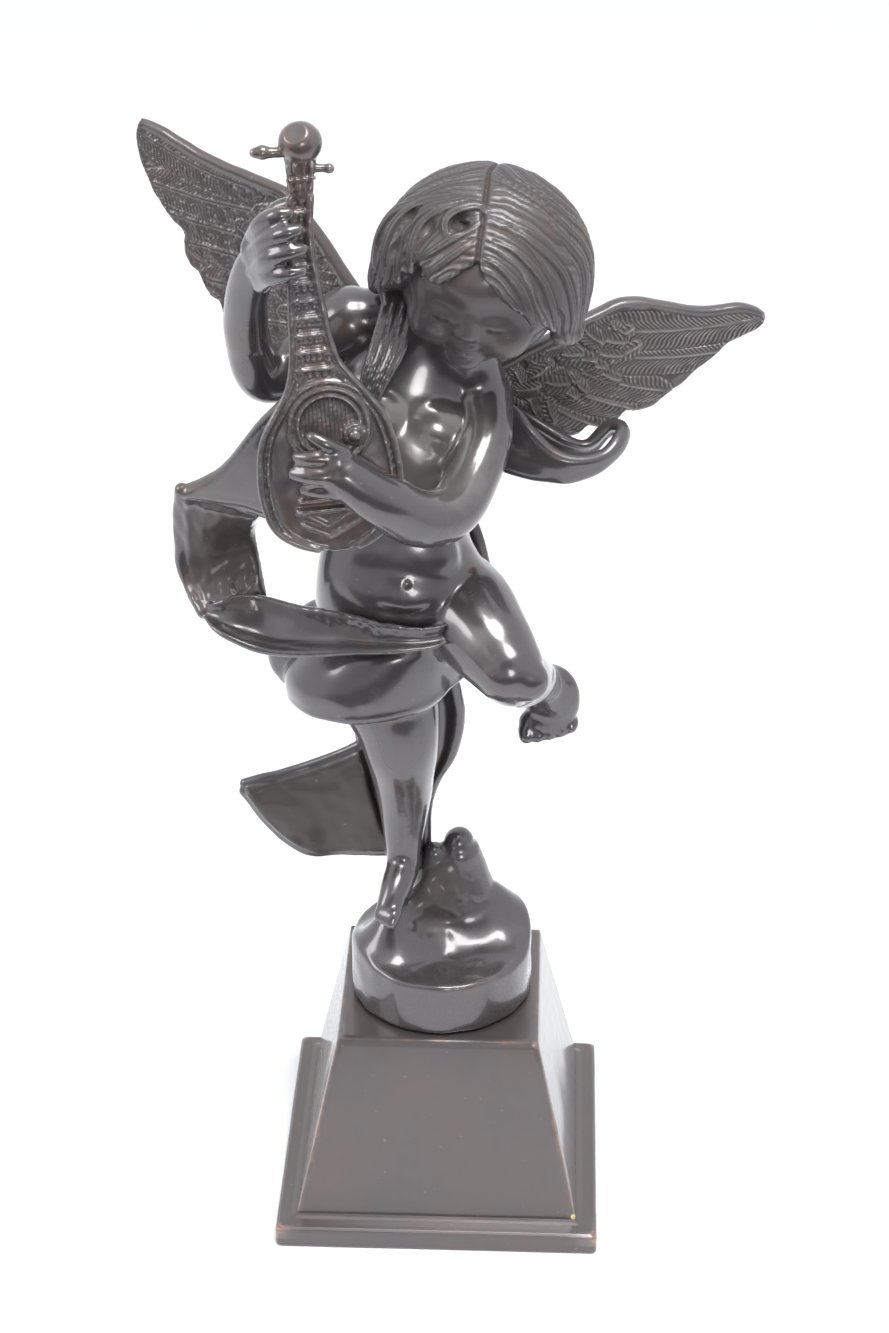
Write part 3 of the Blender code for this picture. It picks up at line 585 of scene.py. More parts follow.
def buildBody():
    shapes = [trunk(body["torso"]), trunk(body["skirt"])]
    shapes += [bar(rows, 8, 6) for rows in body["limbs"]]
    shapes += [ball(*row) for row in body["swellings"]]
    made = fuse(shapes, "cherubBody", 0.8, 22)
    detail = [bar(rows, 5, 3) for rows in body["fingers"]]
    # toes of the raised foot and of the standing one, from the great toe to the little one
    for i in range(5):
        share = i / 4
        size = 2.9 - 1.1 * share
        detail.append(bar([
            (28.6 + 11.4 * share, 12, 95.4 + 2.4 * share, size * 0.95),
            (27 + 14.2 * share, 10.2, 91.4 + 3.2 * share * share, size * 1.1),
            (26.8 + 14.2 * share, 9.0, 89.8 + 3.2 * share * share, size * 0.95)], 4, 3))
        small = 2.5 - 0.85 * share
        detail.append(bar([
            (-13.2 - 3.6 * share, -12.5 + 1.6 * share, 39.6 - 0.4 * share, small * 0.85),
            (-14.6 - 4.4 * share, -17.2 + 2.2 * share, 37.8 + 0.3 * share, small),
            (-15.1 - 4.6 * share, -19.0 + 2.4 * share, 35.9 + 0.6 * share, small * 0.8)], 4, 3))
    made = fuse([made, *detail], "cherubBody", 0.765, 2)
    for rows, width, depth in body["creases"]:
        carve(made, rows, width, depth)
    at = pointsOf(made)
    navel = body["navel"]
    away = np.hypot(at[:, 0] - navel["x"], at[:, 2] - navel["z"])
    front = at[:, 1] < -12
    push(made, front * (navel["ringHeight"] * swell(away - navel["ring"], navel["ringWidth"])
                        - navel["depth"] * swell(away, navel["pit"])))
    # a folded hem round the foot of the skirt, and slow unevenness of hand-worked wax
    at = pointsOf(made)
    rim = 111.6 + 0.11 * (at[:, 0] + 41)
    skirt = (at[:, 2] < 126) & (np.hypot((at[:, 0] + 19) / 25, at[:, 1] / 25) > 0.78)
    push(made, skirt * 0.45 * swell(at[:, 2] - rim, 1.1))
    push(made, 0.10 * ripple(pointsOf(made), 16, 3))
    apply(made, "SMOOTH", factor=0.4, iterations=2)
    at = pointsOf(made)
    # painted highlights laid on as bright bronze
    paintedHighlights = sum(much * around(at, place, reach) for place, reach, much in body["paintedHighlights"])
    return settle(made, skinLook, "cherub", wearAndPaintedLight=paintedHighlights)


head = {
    "at": np.array((12.8, -5.5, 253.0)),
    "turn": Euler((math.radians(13), math.radians(11), math.radians(-9)), "YXZ"),
    "skull": [
        ((0, 3, 0), (26, 26, 25)), ((0, -6.5, -4.5), (18.8, 17, 17)), ((0, -8.5, 6), (17, 15.5, 13)),
        ((-9.5, -13.6, -9), (9, 9, 9)), ((9.5, -13.6, -9), (9, 9, 9)), ((0, -13.6, -12.5), (9, 8.6, 7)),
        ((0, -17.2, -17.6), (6.4, 5.6, 5)), ((0, -2, -20), (12, 13, 8)), ((-14, 5, -15), (9.4, 12, 12)),
    ],
    # soft swellings and hollows of the face: place, reach and height, mirrored where x isn't 0
    "forms": [
        ((7.8, -22, -1.6), (6.2, 8, 4.6), -0.45), ((7.9, -21.5, -3.0), (4.2, 5, 2.6), 0.95),
        ((11, -18.6, -9.4), (6.4, 6, 5.4), 0.5), ((0, -23.6, 1.5), (3.4, 6, 5.4), 0.35),
        ((0, -24.6, -3.6), (2.3, 6, 4.0), 1.2), ((0, -26, -7.0), (2.4, 4, 2.1), 2.3),
        ((2.7, -24.6, -7.6), (1.5, 4, 1.3), 0.8), ((3.9, -23, -7.6), (0.8, 4, 1.5), -0.35),
        ((1.5, -23.6, -12.2), (2.4, 4, 1.0), 0.9), ((0, -23.6, -14.8), (2.7, 4, 1.2), 1.1),
        ((4.9, -21.6, -13.1), (1.2, 4, 1.2), -0.4), ((0, -22, -16.6), (3.2, 4, 0.9), -0.3),
        ((0, -21.6, -18.8), (3.8, 5, 2.4), 0.7), ((0, -23.4, -10.4), (0.9, 4, 1.3), -0.25),
    ],
    "lines": [
        ([(12.0, -18.8, -3.9), (8.0, -22.8, -4.9), (4.3, -21.8, -4.0)], 0.5, 0.75),
        ([(-4.9, -21.6, -13.1), (-1.8, -23.8, -13.3), (0, -24.2, -13.6), (1.8, -23.8, -13.3),
          (4.9, -21.6, -13.1)],
         0.5, 0.85),
    ],
}
headMatrix = np.array(head["turn"].to_matrix())


def inHead(points):
    return head["at"] + np.asarray(points, float) @ headMatrix.T


def buildHead():
    made = fuse([ball(*row, segments=64) for row in head["skull"]], "cherubHead", 0.6, 70)
    apply(made, "REMESH", mode="VOXEL", voxel_size=0.44)
    apply(made, "SMOOTH", factor=0.5, iterations=14)
    mirrored = np.array((-1, 1, 1))
    for place, reach, height in head["forms"]:
        dab(made, place, reach, height)
        if place[0]:
            dab(made, place * mirrored, reach, height)
    for rows, width, depth in head["lines"]:
        carve(made, rows, width, depth)
        if len(rows) == 3:
            carve(made, rows * mirrored, width, depth)
    for side in (1.6, -1.6):
        dab(made, (side, -26, -9.0), (0.7, 2, 0.6), -0.5)
    apply(made, "SMOOTH", factor=0.5, iterations=1)
    push(made, 0.06 * ripple(pointsOf(made), 10, 9))
    # painted shade: the lines of the lids and the mouth made darker
    at = pointsOf(made)
    lineShade = 0
    for rows, width, depth in head["lines"]:
        both = (rows, rows * mirrored) if len(rows) == 3 else (rows,)
        lineShade = lineShade + sum(depth * 1.6 * swell(distanceTo(at, line, 3)[0], 0.75) for line in both)
    movePoints(made, inHead(at))
    return settle(made, headLook, "cherub", wearAndPaintedLight=-lineShade)


hair = {
    "centre": np.array((0, 3, -2.0)),
    "radii": np.array((31.2, 31.2, 29.2)),
    # where the hair's edge lies: turn from the front in degrees, then its height in degrees
    "edgeTurn": [-180, -120, -92, -76, -62, -52, -47, -44, -40, -37, -30, -24.7, -19.9, -14.9, -9.6, -1.6,
                 4.4, 10.4, 18.6, 30.5, 36, 42.7, 50, 56.8, 65, 75, 90, 120, 180],
    "edgeHeight": [-38, -34, -28, -22, -13, -4, 5, 17, 23, 24.5, 20, 18.6, 19.6, 23.2, 32.5, 37.6,
                   31.9, 25, 17.7, 10, 4, 2, -5, -11, -18, -24, -28, -34, -38],
    # locks: turn, height, lift and radius
    "locks": [
        [(-9, 68, -0.4, 1.2), (-22, 68, 0.6, 1.8), (-34, 61, 1.2, 2.1), (-37, 52, 1.0, 1.9),
         (-29, 45, 0.2, 1.2)],
        [(-10, 60, -0.5, 1.1), (-18, 53, 0.0, 1.5), (-26, 44, 0.2, 1.7), (-33, 34, 0.0, 1.5),
         (-38, 27, -0.2, 1.0)],
        [(-8, 50, -0.5, 1.0), (-14, 44, 0.0, 1.4), (-20, 36, 0.2, 1.5), (-26, 27, 0.0, 1.3),
         (-31, 22, -0.2, 0.9)],
        [(-44, 66, -0.4, 1.5), (-52, 54, 0.2, 2.0), (-52, 40, 0.4, 2.0), (-46, 28, 0.2, 1.6),
         (-40, 19, -0.2, 1.0)],
        [(-54, 62, -0.4, 1.5), (-62, 48, 0.2, 1.9), (-60, 32, 0.4, 1.9), (-52, 18, 0.2, 1.5),
         (-46, 8, -0.2, 1.0)],
        [(-66, 60, -0.4, 1.8), (-73, 44, 0.2, 2.2), (-73, 28, 0.4, 2.3), (-66, 13, 0.2, 1.9),
         (-58, 2, -0.2, 1.1)],
        [(-80, 44, -0.4, 1.8), (-86, 26, 0.3, 2.3), (-86, 8, 0.6, 2.5), (-77, -6, 0.6, 2.2),
         (-68, -2, 0.4, 1.7), (-70, 8, 0.0, 1.2)],
        [(-94, 28, -0.4, 2.0), (-99, 8, 0.3, 2.6), (-97, -10, 0.8, 3.0), (-88, -20, 0.9, 3.1),
         (-78, -20, 0.5, 2.6), (-74, -12, 0.0, 1.6)],
        [(-60, 6, -0.4, 1.1), (-62, -6, 0.1, 1.6), (-56, -15, -0.2, 1.0)],
        [(3, 42, -0.4, 1.0), (13, 39, 0.1, 1.6), (25, 29, 0.3, 1.9), (32, 16, 0.2, 1.6), (36, 5, -0.2, 0.8)],
        [(9, 52, -0.5, 1.2), (25, 47, 0.0, 1.8), (39, 33, 0.2, 2.0), (46, 16, 0.1, 1.7), (50, 2, -0.2, 1.0)],
        [(24, 60, -0.6, 1.4), (42, 50, -0.2, 1.9), (57, 30, 0.0, 2.1), (63, 4, 0.0, 1.9),
         (66, -16, -0.3, 1.2)],
    ],
    "hollows": [((-26, 56), (2.4, 2.4, 2.4), 2.2), ((-66, 38), (1.8, 2.6, 4.2), 1.8),
                ((-46, 44), (1.6, 2, 3.4), 1.3),
                ((-76, 8), (2.2, 2.4, 2.6), 2.2), ((-57, 22), (1.6, 2, 3), 1.5)],
    "roll": [(58, -11), (72, -20), (90, -25), (120, -31), (150, -34), (180, -34), (210, -33), (240, -32),
             (262, -30)],
    "strand": 4.3,
}


def hairWay(turn, height):
    turn, height = np.radians(turn), np.radians(height)
    return np.stack([np.sin(turn) * np.cos(height), -np.cos(turn) * np.cos(height), np.sin(height)], axis=-1)


def hairBell(way):
    power = np.where(way[:, 2] > 0, 2, 3.0)
    return (np.hypot(way[:, 0], way[:, 1]) ** power + np.abs(way[:, 2]) ** power) ** (-1 / power)


def hairCover(way, soft=2.5):
    turn = np.degrees(np.arctan2(way[:, 0], -way[:, 1]))
    height = np.degrees(np.arcsin(np.clip(way[:, 2], -1, 1)))
    edge = np.interp(turn, hair["edgeTurn"], hair["edgeHeight"])
    return step(height - edge, -soft, soft)


def onHair(row):
    turn, height, lift, radius = row
    way = hairWay(turn, height)[None]
    base = hair["centre"] + (way * hairBell(way)[:, None] * hair["radii"])[0]
    return (*(base + way[0] * (lift - radius * 0.55)), radius)


def combed(way):
    # which strand a place belongs to: strands leave the parting and fall round the head
    over = np.degrees(np.arctan2(way[:, 2], -way[:, 1]))
    parting = np.interp(over, [0, 38, 100, 150, 180], [0, -1, -8, -3, 0])
    over = np.where(over < -90, over + 360, over)
    side = np.abs(np.degrees(np.arcsin(np.clip(way[:, 0], -1, 1))) - parting)
    turn = np.abs(np.degrees(np.arctan2(way[:, 0], -way[:, 1])))
    low = np.where(turn > 68, 66 + (turn - 68) * 1.35, 66 - (68 - turn) * 0.375)
    share = step(side, 0, 66)
    return (1 - share) * (over + 0.0165 * np.minimum(side, 60) ** 2) + share * low, side


def buildHair():
    def shaper(latitude, turn, at):
        cover = hairCover(at)
        reach = hairBell(at) * (0.76 + 0.24 * cover)
        return hair["centre"] + at * reach[:, None] * hair["radii"]
    shapes = [shaped("hairCap", 160, 110, shaper)]
    shapes += [bar([onHair(row) for row in rows], 7, 4) for rows in hair["locks"]]
    shapes.append(bar([onHair((turn, height, 0.0, 2.6)) for turn, height in hair["roll"]], 6, 4))
    made = fuse(shapes, "cherubHair", 0.46, 3)
    # combed strands and thicker clumps
    at = pointsOf(made)
    way = (at - hair["centre"]) / hair["radii"]
    way /= np.linalg.norm(way, axis=1)[:, None]
    strand, side = combed(way)
    strand = strand + 1.1 * ripple(at, 14, 21) + 0.4 * ripple(at, 5, 22)
    cover = hairCover(way, 1.5)
    phase = np.abs(np.sin(math.pi * strand / hair["strand"]))
    clump = np.abs(np.sin(math.pi * strand / (hair["strand"] * 3.6) + 0.6))
    fine = np.abs(np.sin(math.pi * strand / (hair["strand"] * 0.37)))
    height = 0.5 * (phase ** 0.6 - 0.65) + 0.6 * (clump ** 0.6 - 0.6) + 0.14 * (fine - 0.6)
    height *= 0.35 + 0.65 * step(side, 1, 6)
    height -= 1.1 * swell(side, 1.1) * step(way[:, 2], 0.1, 0.4)
    for rows in hair["locks"]:
        path = [onHair(row) for row in rows]
        distance, share = distanceTo(at, path, 6)
        line = smoothRows(path, 12)
        index = (share * (len(line) - 1)).astype(int)
        centre = line[index, :3]
        ahead = line[np.minimum(index + 1, len(line) - 1), :3] - line[np.maximum(index - 1, 0), :3]
        ahead /= np.linalg.norm(ahead, axis=1)[:, None]
        out = way - (way * ahead).sum(1)[:, None] * ahead
        out /= np.linalg.norm(out, axis=1)[:, None]
        across = np.cross(ahead, out)
        offset = at - centre
        angle = np.arctan2((offset * across).sum(1), (offset * out).sum(1))
        near = step(-distance, -line[index, 3] * 1.45, -line[index, 3] * 1.05)
        ribs = 0.42 * (np.abs(np.sin(angle * 3.8 + 0.5)) ** 0.7 - 0.6)
        height = height * (1 - near) + ribs * near
    push(made, height * cover)
    groove = cover * (np.clip(height * 1.9, -1.3, 0.8) - 0.4)
    for (turn, up), reach, depth in hair["hollows"]:
        dab(made, onHair((turn, up, 0, 0))[:3], reach, -depth)
    movePoints(made, inHead(pointsOf(made)))
    return settle(made, hairLook, "cherub", 3, groove)


wings = {
    "left": {
        "root": (16, 20, 207), "span": (0.941, 0.307, 0.139), "chord": (0.132, 0.043, -0.99),
        "edges": [
            (-4, -6, 7), (4, -7, 9), (9, -8.5, 14), (13, -9.5, 21), (18, -10.6, 24), (23, -12.2, 24.6),
            (26.5, -13.2, 22.6), (31, -14.2, 24.4), (35, -15, 24.6), (39, -16, 21), (43, -16.2, 22),
            (48.5, -15, 21.6), (53, -13, 18.6), (58.2, -10.8, 16.6), (63, -8.6, 13.2), (68.5, -7, 10.2),
            (73, -6.4, 7), (79, -5.7, 5.4), (84, -3.2, 4), (86.6, -0.6, 1.2),
        ],
        # root and tip of each feather (along, down), its half width, and its bend
        "long": [
            ((0, 2), (18, 25), 5.2, 0.5), ((6, 3), (32.6, 25), 5.4, 1), ((14, 2), (42.8, 20.6), 5.6, 1.2),
            ((22, 1), (54.6, 17.6), 5.6, 1.4), ((28, -2), (74.6, 8.4), 6.0, 2),
            ((32, -8.6), (88, 0.2), 6.4, 2.2),
        ],
        "rows": (-2, 37, -9.5, 14), "shortSize": (8.6, 3.1), "shortTurn": 30, "scatter": 0.85,
        "barb": 1.5, "barbDepth": 0.4, "rise": 0.8, "pitted": 0.0, "shade": 0.5,
    },
    "right": {
        "root": (-25.8, 20.6, 227), "span": (-0.754, 0.315, 0.577), "chord": (-0.555, 0.165, -0.815),
        "edges": [
            (-4, -5, 15), (2, -7, 22), (12, -9.6, 28), (20, -12, 31), (27, -13.6, 30), (31.5, -14.4, 31.8),
            (36, -15.2, 29), (40, -15.7, 29.6), (46, -13.6, 26.4), (50, -12, 26.2), (53.8, -10.6, 24),
            (57.6, -9, 19), (62, -7.6, 18.4), (67.5, -6, 16.8), (72, -5.2, 15.2), (76, -4.4, 12.6),
            (80, -3.8, 10.4), (84.6, -2.4, 6), (87.4, -1.2, 1),
        ],
        "long": [
            ((-4, 14), (22, 34), 6, 1), ((4, 8), (36, 32), 6.4, 1), ((12, 3), (46, 27), 6.4, 1),
            ((20, -1), (56, 20.6), 6.4, 1), ((28, -4), (68.5, 18.6), 6.2, 1.2), ((38, -7), (78, 14), 6.2, 1.4),
            ((48, -8.6), (88, 2.4), 6.4, 1.8),
        ],
        "rows": (0, 36, -9, 14), "shortSize": (9, 3.2), "shortTurn": 30, "scatter": 0.3,
        "barb": 1.15, "barbDepth": 0.2, "rise": 0.42, "pitted": 0.26, "shade": 0.1,
    },
}


def featherRelief(wing, place, down):
    # heights of overlapping feathers: each later one lies on those before it
    height = np.zeros(len(place))
    chance = np.random.default_rng(5)
    feathers = [(*row, 0.0, i) for i, row in enumerate(wing["long"])]
    size, width = wing["shortSize"]
    first, last, top, bottom = wing["rows"]
    for i, a in enumerate(np.arange(last, first, -4.6)):
        for d in np.arange(top + (i % 2) * 2.6, bottom - 0.3 * a, 5.2):
            turn = math.radians(wing["shortTurn"] + chance.uniform(-60, 60) * wing["scatter"])
            start = np.array((a, d)) + chance.uniform(-1.4, 1.4, 2)
            tip = start + np.array((size * math.cos(turn), size * math.sin(turn)))
            feathers.append((start, tip, width * chance.uniform(0.85, 1.15), 0.6, 0.35, i + d))
    for root, tip, width, bend, raised, order in feathers:
        root, tip = np.array(root, float), np.array(tip, float)
        long = np.linalg.norm(tip - root)
        way = (tip - root) / long
        t = ((place - root[0]) * way[0] + (down - root[1]) * way[1]) / long
        s = (place - root[0]) * -way[1] + (down - root[1]) * way[0] - bend * np.sin(math.pi * np.clip(t, 0, 1))
        half = width * np.minimum(1, np.sqrt(np.clip(t + 0.12, 0, 1) / 0.3)) * np.sqrt(
            np.clip(1 - np.clip((t - 0.5) / 0.5, 0, 1) ** 2.6, 0, 1))
        inside = (t > -0.1) & (t < 1) & (np.abs(s) < half)
        share = s / np.maximum(half, 1e-3)
        dome = np.sqrt(np.clip(1 - share**2, 0, 1)) * (0.35 + 0.65 * np.clip(t, 0, 1))
        lift = raised + wing["rise"] * (0.3 + 0.9 * dome)
        lean = t * long + np.abs(s) * 0.8 + 0.5 * np.sin(s * 1.1 + order) + order * 0.37
        barbs = np.abs(np.sin(math.pi * lean / wing["barb"])) ** 0.8
        lift = lift - wing["barbDepth"] * (1 - barbs) * step(np.abs(s), 0.3, 0.9)
        lift = lift + 0.3 * swell(s, 0.36) * step(t, 0, 0.1) * step(-t, -0.97, -0.85)
        height = np.where(inside, lift, height)
    return height


def buildWing(name, wing):
    root, span, chord = (np.array(wing[key], float) for key in ("root", "span", "chord"))
    out = np.cross(span, chord)
    out *= -np.sign(out[1]) / np.linalg.norm(out)
    edges = np.array(wing["edges"])
    rows = smoothRows(edges, 8)

    def shaper(length, across, side):
        place = -4 + (edges[-1, 0] + 4) * length
        leading, trailing = (np.interp(place, rows[:, 0], rows[:, i]) for i in (1, 2))
        down = leading + (trailing - leading) * across
        relief = featherRelief(wing, place, down)
        gap = down - leading
        ridge = 1.9 * np.exp(-((gap / 3.0) ** 4)) * (1 - 0.6 * np.clip(place / 88, 0, 1))
        smooth = step(gap, 2.4, 3.8)
        nearEdge = np.minimum(gap, trailing - down)
        rim = rounded(nearEdge / 1.5)
        rim = rim * rounded((1 - length) / 0.02)
        rim = rim * rounded(length / 0.02)
        flat = np.column_stack([place, down, 0 * down])
        rough = 0.12 * ripple(flat, 5, 31) + wing["pitted"] * np.minimum(0, 0.4 + ripple(flat, 1.7, 32))
        front = 1.3 + ridge + (relief + rough) * smooth
        back = 1.2 + 0.6 * ridge + 0.45 * relief * smooth
        half = rim * np.where(side > 0, front, back)
        bow = -1.5 * np.sin(math.pi * np.clip(place / 88, 0, 1))
        return root + span * place[:, None] + chord * down[:, None] + out * (bow + side * half)[:, None]

    made = plate(name, 270, 104, shaper)
    # painted shade: each wing made darker towards its root, where it joins the back
    inner = 1 - step((pointsOf(made) - root) @ span, 12, 48)
    return settle(made, wingLook, "cherub", 1, -wing["shade"] * inner - 0.1, 1.5)


mandolin = {
    "tail": np.array((-26.4, -43.5, 181.1)),
    "axis": np.array((-0.086, 0.118, 0.989)),
    "face": np.array((0.123, -0.984, 0.128)),
    "outline": [
        (0.3, 3, 0.2, 3), (1.3, 6.8, 0.8, 6), (4.2, 13, 1.3, 11), (9.3, 18.1, 1.4, 17), (18.5, 20.4, 1.2, 20),
        (28, 20.1, 1.2, 19.5), (36, 18.3, 1, 17), (42.2, 15.1, 0.5, 13), (49.3, 10.5, 0.8, 10),
        (57.5, 6.8, 2.3, 7), (70.8, 5.2, 2.9, 6), (91, 3.5, 2.9, 5), (107.3, 3.8, 1.1, 5),
    ],
    "hole": (37.6, 0.1), "button": (34.6, -6.9), "knob": (117.8, 0, -1), "knobCut": (121.4, 1.2, 3.0),
}
mandolin["across"] = np.cross(mandolin["face"], mandolin["axis"])


def onMandolin(place, side, above):
    flat = np.stack(np.broadcast_arrays(place, side, above), axis=-1).astype(float)
    return mandolin["tail"] + flat @ np.array([mandolin["axis"], mandolin["across"], mandolin["face"]])


def mandolinRow(place):
    rows = smoothRows(mandolin["outline"], 8)
    return [np.interp(place, rows[:, 0], rows[:, i]) for i in (1, 2, 3)]


def mandolinBar(points, radius, steps=3):
    return bar([(*onMandolin(*point), radius) for point in points], steps, 3)


def mandolinArc(centre, radius, above, thick, turns):
    line = [(centre[0] + radius * math.cos(a), centre[1] + radius * math.sin(a), above) for a in turns]
    return mandolinBar(line, thick, 1)


def mandolinRod(rows):
    return bar([(*onMandolin(*row[:3]), row[3]) for row in rows], 4, 4)


def buildMandolin():
    def shaper(latitude, turn, at):
        place = 0.3 + 107 * (1 - np.cos(math.pi * latitude)) / 2
        half, shift, depth = mandolinRow(place)
        end = rounded(np.minimum(latitude, 1 - latitude) / 0.02)
        rise = np.sin(turn)
        above = np.where(rise > 0, 0.5 * rise, depth * rise)
        return onMandolin(place, shift + half * np.cos(turn) * end, above * end)
    shapes = [shaped("bowl", 96, 120, shaper)]
    rows = smoothRows(mandolin["outline"], 4)
    for inset, radius, last in ((0.7, 1.05, 106), (3.0, 0.55, 62)):
        for sign in (-1, 1):
            line = [(a, shift + sign * (half - inset), 0.55) for a, half, shift, _ in rows
                    if 1.2 < a < last and half > inset + 0.4]
            shapes.append(mandolinBar(line, radius, 1))
    hole, button = mandolin["hole"], mandolin["button"]
    for radius, thick in ((11, 0.85), (8.9, 0.5)):
        shapes.append(mandolinArc(hole, radius, 0.55, thick, np.linspace(0, 2 * math.pi, 49)))
    shapes.append(mandolinArc(hole, 13, 0.6, 0.75, np.linspace(-0.8, 1.1, 14)))
    # fingerboard with frets, each with its row of small teeth
    for a in np.linspace(54.6, 104, 11):
        half, shift, _ = mandolinRow(a)
        reach = half - 1.6
        shapes.append(mandolinBar([(a, shift - reach, 0.9), (a, shift + reach, 0.9)], 0.62))
        for k in np.linspace(-0.7, 0.7, 5 if half > 5 else 3):
            side = shift + reach * k
            shapes.append(mandolinBar([(a, side, 0.8), (a - 1.9, side, 0.7)], 0.36, 2))
    edge = [[(a, mandolinRow(a)[1] + sign * (mandolinRow(a)[0] - 1.4), 0.8) for a in np.linspace(52, 106, 12)]
            for sign in (-1, 1)]
    shapes += [mandolinBar(line, 0.6, 2) for line in edge]
    # bridge, toothed bar and tailpiece
    shapes.append(mandolinBar([(16.4, -4.4, 0.7), (16.4, 10, 0.7)], 1.0))
    for k in np.linspace(-3.8, 9.4, 11):
        shapes.append(mandolinBar([(16.6, k, 0.9), (19.8, k, 0.9)], 0.42, 2))
    shapes.append(mandolinBar([(20.4, -4, 0.6), (20.4, 9.6, 0.6)], 0.55))
    shapes.append(mandolinBar([(13.2, -5, 0.7), (13.2, 11, 0.7)], 0.8))
    for tail, thick in (([(13.0, 10.6, 0.6), (8.2, 3.4, 0.6), (13.0, -6.0, 0.6)], 0.55),
                        ([(9.4, 10.2, 0.6), (5.4, 2.6, 0.6), (10.6, -7.6, 0.6)], 0.8)):
        shapes.append(mandolinBar(tail, thick, 1))
    shapes.append(ball(onMandolin(*button, 1.4), (1.8,) * 3, segments=20))
    shapes.append(mandolinArc(button, 2.7, 0.8, 0.55, np.linspace(0, 2 * math.pi, 17)))
    # peg head, pegs and the knob at its top
    shapes.append(mandolinRod([(104, 1.4, -1.8, 3.7), (110, 0.8, -2, 4.0), (114, 0.4, -2, 4.6)]))
    for k in (-2.6, -0.6, 1.4, 3.4):
        shapes.append(mandolinBar([(105.5, k * 0.9 + 0.9, 1.5), (112.4, k * 1.15 + 0.5, 2.0)], 0.55, 2))
    shapes.append(mandolinBar([(108.4, -2.6, 1.6), (108.2, 4.4, 1.6)], 0.7))
    shapes.append(ball(onMandolin(*mandolin["knob"]), (6, 5.7, 5.8), segments=48))
    shapes.append(mandolinRod([
        (115.8, 3, 0, 1.5), (116.0, 8, 0, 1.5), (116.3, 10.6, 0, 2.1), (116.4, 12.6, 0, 1.5)]))
    shapes.append(mandolinRod([(110.4, -3, -1, 1.2), (110.2, -5.6, -1, 1.2), (110.0, -7, -1, 1.5)]))
    made = fuse(shapes, "mandolin", 0.4, 1)
    # strings over the hole and the board, the sunk hole, and the flat of the knob
    at = pointsOf(made) - mandolin["tail"]
    place, side, above = (at @ mandolin[key] for key in ("axis", "across", "face"))
    front = above > -0.6
    inHole = step(-np.hypot(place - hole[0], side - hole[1]), -8.6, -7.8) * front * (above < 0.8)
    strings = np.abs(np.sin(math.pi * side / 1.15))
    push(made, -0.8 * inHole + 0.42 * strings * inHole * step(place, 20, 30))
    board = front * step(-np.abs(side - 2.6), -6, -5) * step(place, 20.8, 22) * (1 - step(place, 28, 29))
    push(made, 0.35 * (strings - 0.5) * board)
    cut = onMandolin(*mandolin["knobCut"])
    way = cut - onMandolin(*mandolin["knob"])
    way /= np.linalg.norm(way)
    points = pointsOf(made)
    past = np.maximum(0, (points - cut) @ way + 0.6)
    movePoints(made, points - way * past[:, None] * (np.abs((points - cut) @ way) < 6)[:, None])
    push(made, 0.06 * ripple(pointsOf(made), 6, 44))
    return settle(made, woodLook, "cherub", 3)


sash = {
    "flap": ([(-42, -22, 222), (-53, -20, 210), (-64, -15, 194), (-77, -8.5, 184)],
             [(-42, -22, 184), (-49, -18, 180), (-58, -14, 181), (-76, -7.5, 181.2)]),
    "panel": ([(-76.6, -9, 183), (-79, -2, 162.8), (-77, -3, 149.7), (-71.7, -11, 143)],
              [(-52, -15, 179), (-56, 0, 165.6), (-54.6, 0, 153.8), (-52.4, -6, 146)]),
    "band": ([(-71.6, -14, 143), (-68, -19, 141), (-63, -22.5, 139.2), (-52.4, -25, 136.3),
              (-40.7, -27.5, 136.9), (-27, -29, 138.8), (-10.7, -29.5, 140.1), (1, -26, 140.6), (6, -18, 141)],
             [(-71, -12, 145.4), (-65.5, -13, 148.6), (-59.5, -12, 150.3), (-51.7, -12, 149.4),
              (-41.6, -16, 149), (-29, -21, 149.5), (-11, -26, 147.8), (1, -23.6, 147), (6.6, -16, 148)]),
    "loop": ([(8, 13, 190), (16, 8, 183.6), (26, 4.5, 182), (37.5, 4, 181), (47.3, 7, 183.5),
              (53.6, 13, 188), (54.4, 18.5, 190.5), (50, 21, 188.6), (44, 18, 183.4), (35, 17, 185),
              (25, 19, 187.6), (12, 22, 190)],
             [(13, 12, 207), (22.5, 9, 204), (28, 5.5, 198.4), (34, 3, 193.2), (41, 3, 190.9),
              (48.2, 6, 191.4), (52.8, 12.5, 195), (50.6, 17, 194.6), (44, 14.5, 189.6), (36, 14, 192.4),
              (25, 17, 198.4), (12, 21, 203)]),
    "back": ([(-34, 22, 216), (-29, 24, 196), (-22, 23, 178), (-12, 22, 162), (-2, 22, 148), (5, 18, 138)],
             [(-24, 23, 228), (-15, 24, 208), (-6, 23, 190), (3, 21, 174), (11, 18, 160), (15, 10, 148)]),
    "strap": ([(-13.6, 7, 257), (-16, -5, 245.5), (-19.4, -14, 234), (-22.6, -17.6, 224), (-23.4, -19.6, 213)],
              [(-3.4, 2, 256), (-5.6, -8, 243), (-9.2, -16, 231), (-14.6, -18.6, 221), (-19.6, -20.4, 212)]),
    "side": ([(-6, 6, 130), (3, 3, 118), (7.4, 7, 101), (5.4, 9.4, 84), (-3, 10, 64), (-3, 9, 40)],
             [(-10, 14, 130), (-8, 11, 114), (-8, 10.4, 100), (-8, 10.4, 84), (-9, 12, 64), (-9, 10, 40)]),
    "behind": ([(-8, 15, 128), (-8, 15, 108), (-8, 14, 88), (-8, 12, 64), (-8, 10, 38)],
               [(-36, 12, 126), (-31, 13, 106), (-28, 14, 84), (-22, 12, 62), (-17, 8, 40)]),
    "trailing": ([(-26, 13, 83), (-35, 14, 78), (-50, 14.5, 71.5), (-64.6, 14.5, 66.6)],
                 [(-16, 11, 44), (-26, 14, 42), (-36, 17, 40), (-44, 17, 39.5), (-54, 15.5, 47.5),
                  (-64.6, 14, 64)]),
}


def rimOf(edge, radius, start=0.0, end=1.0, count=14):
    rows = along(edge, np.linspace(start, end, count))
    return bar([(*row, radius) for row in rows], 2, 4)


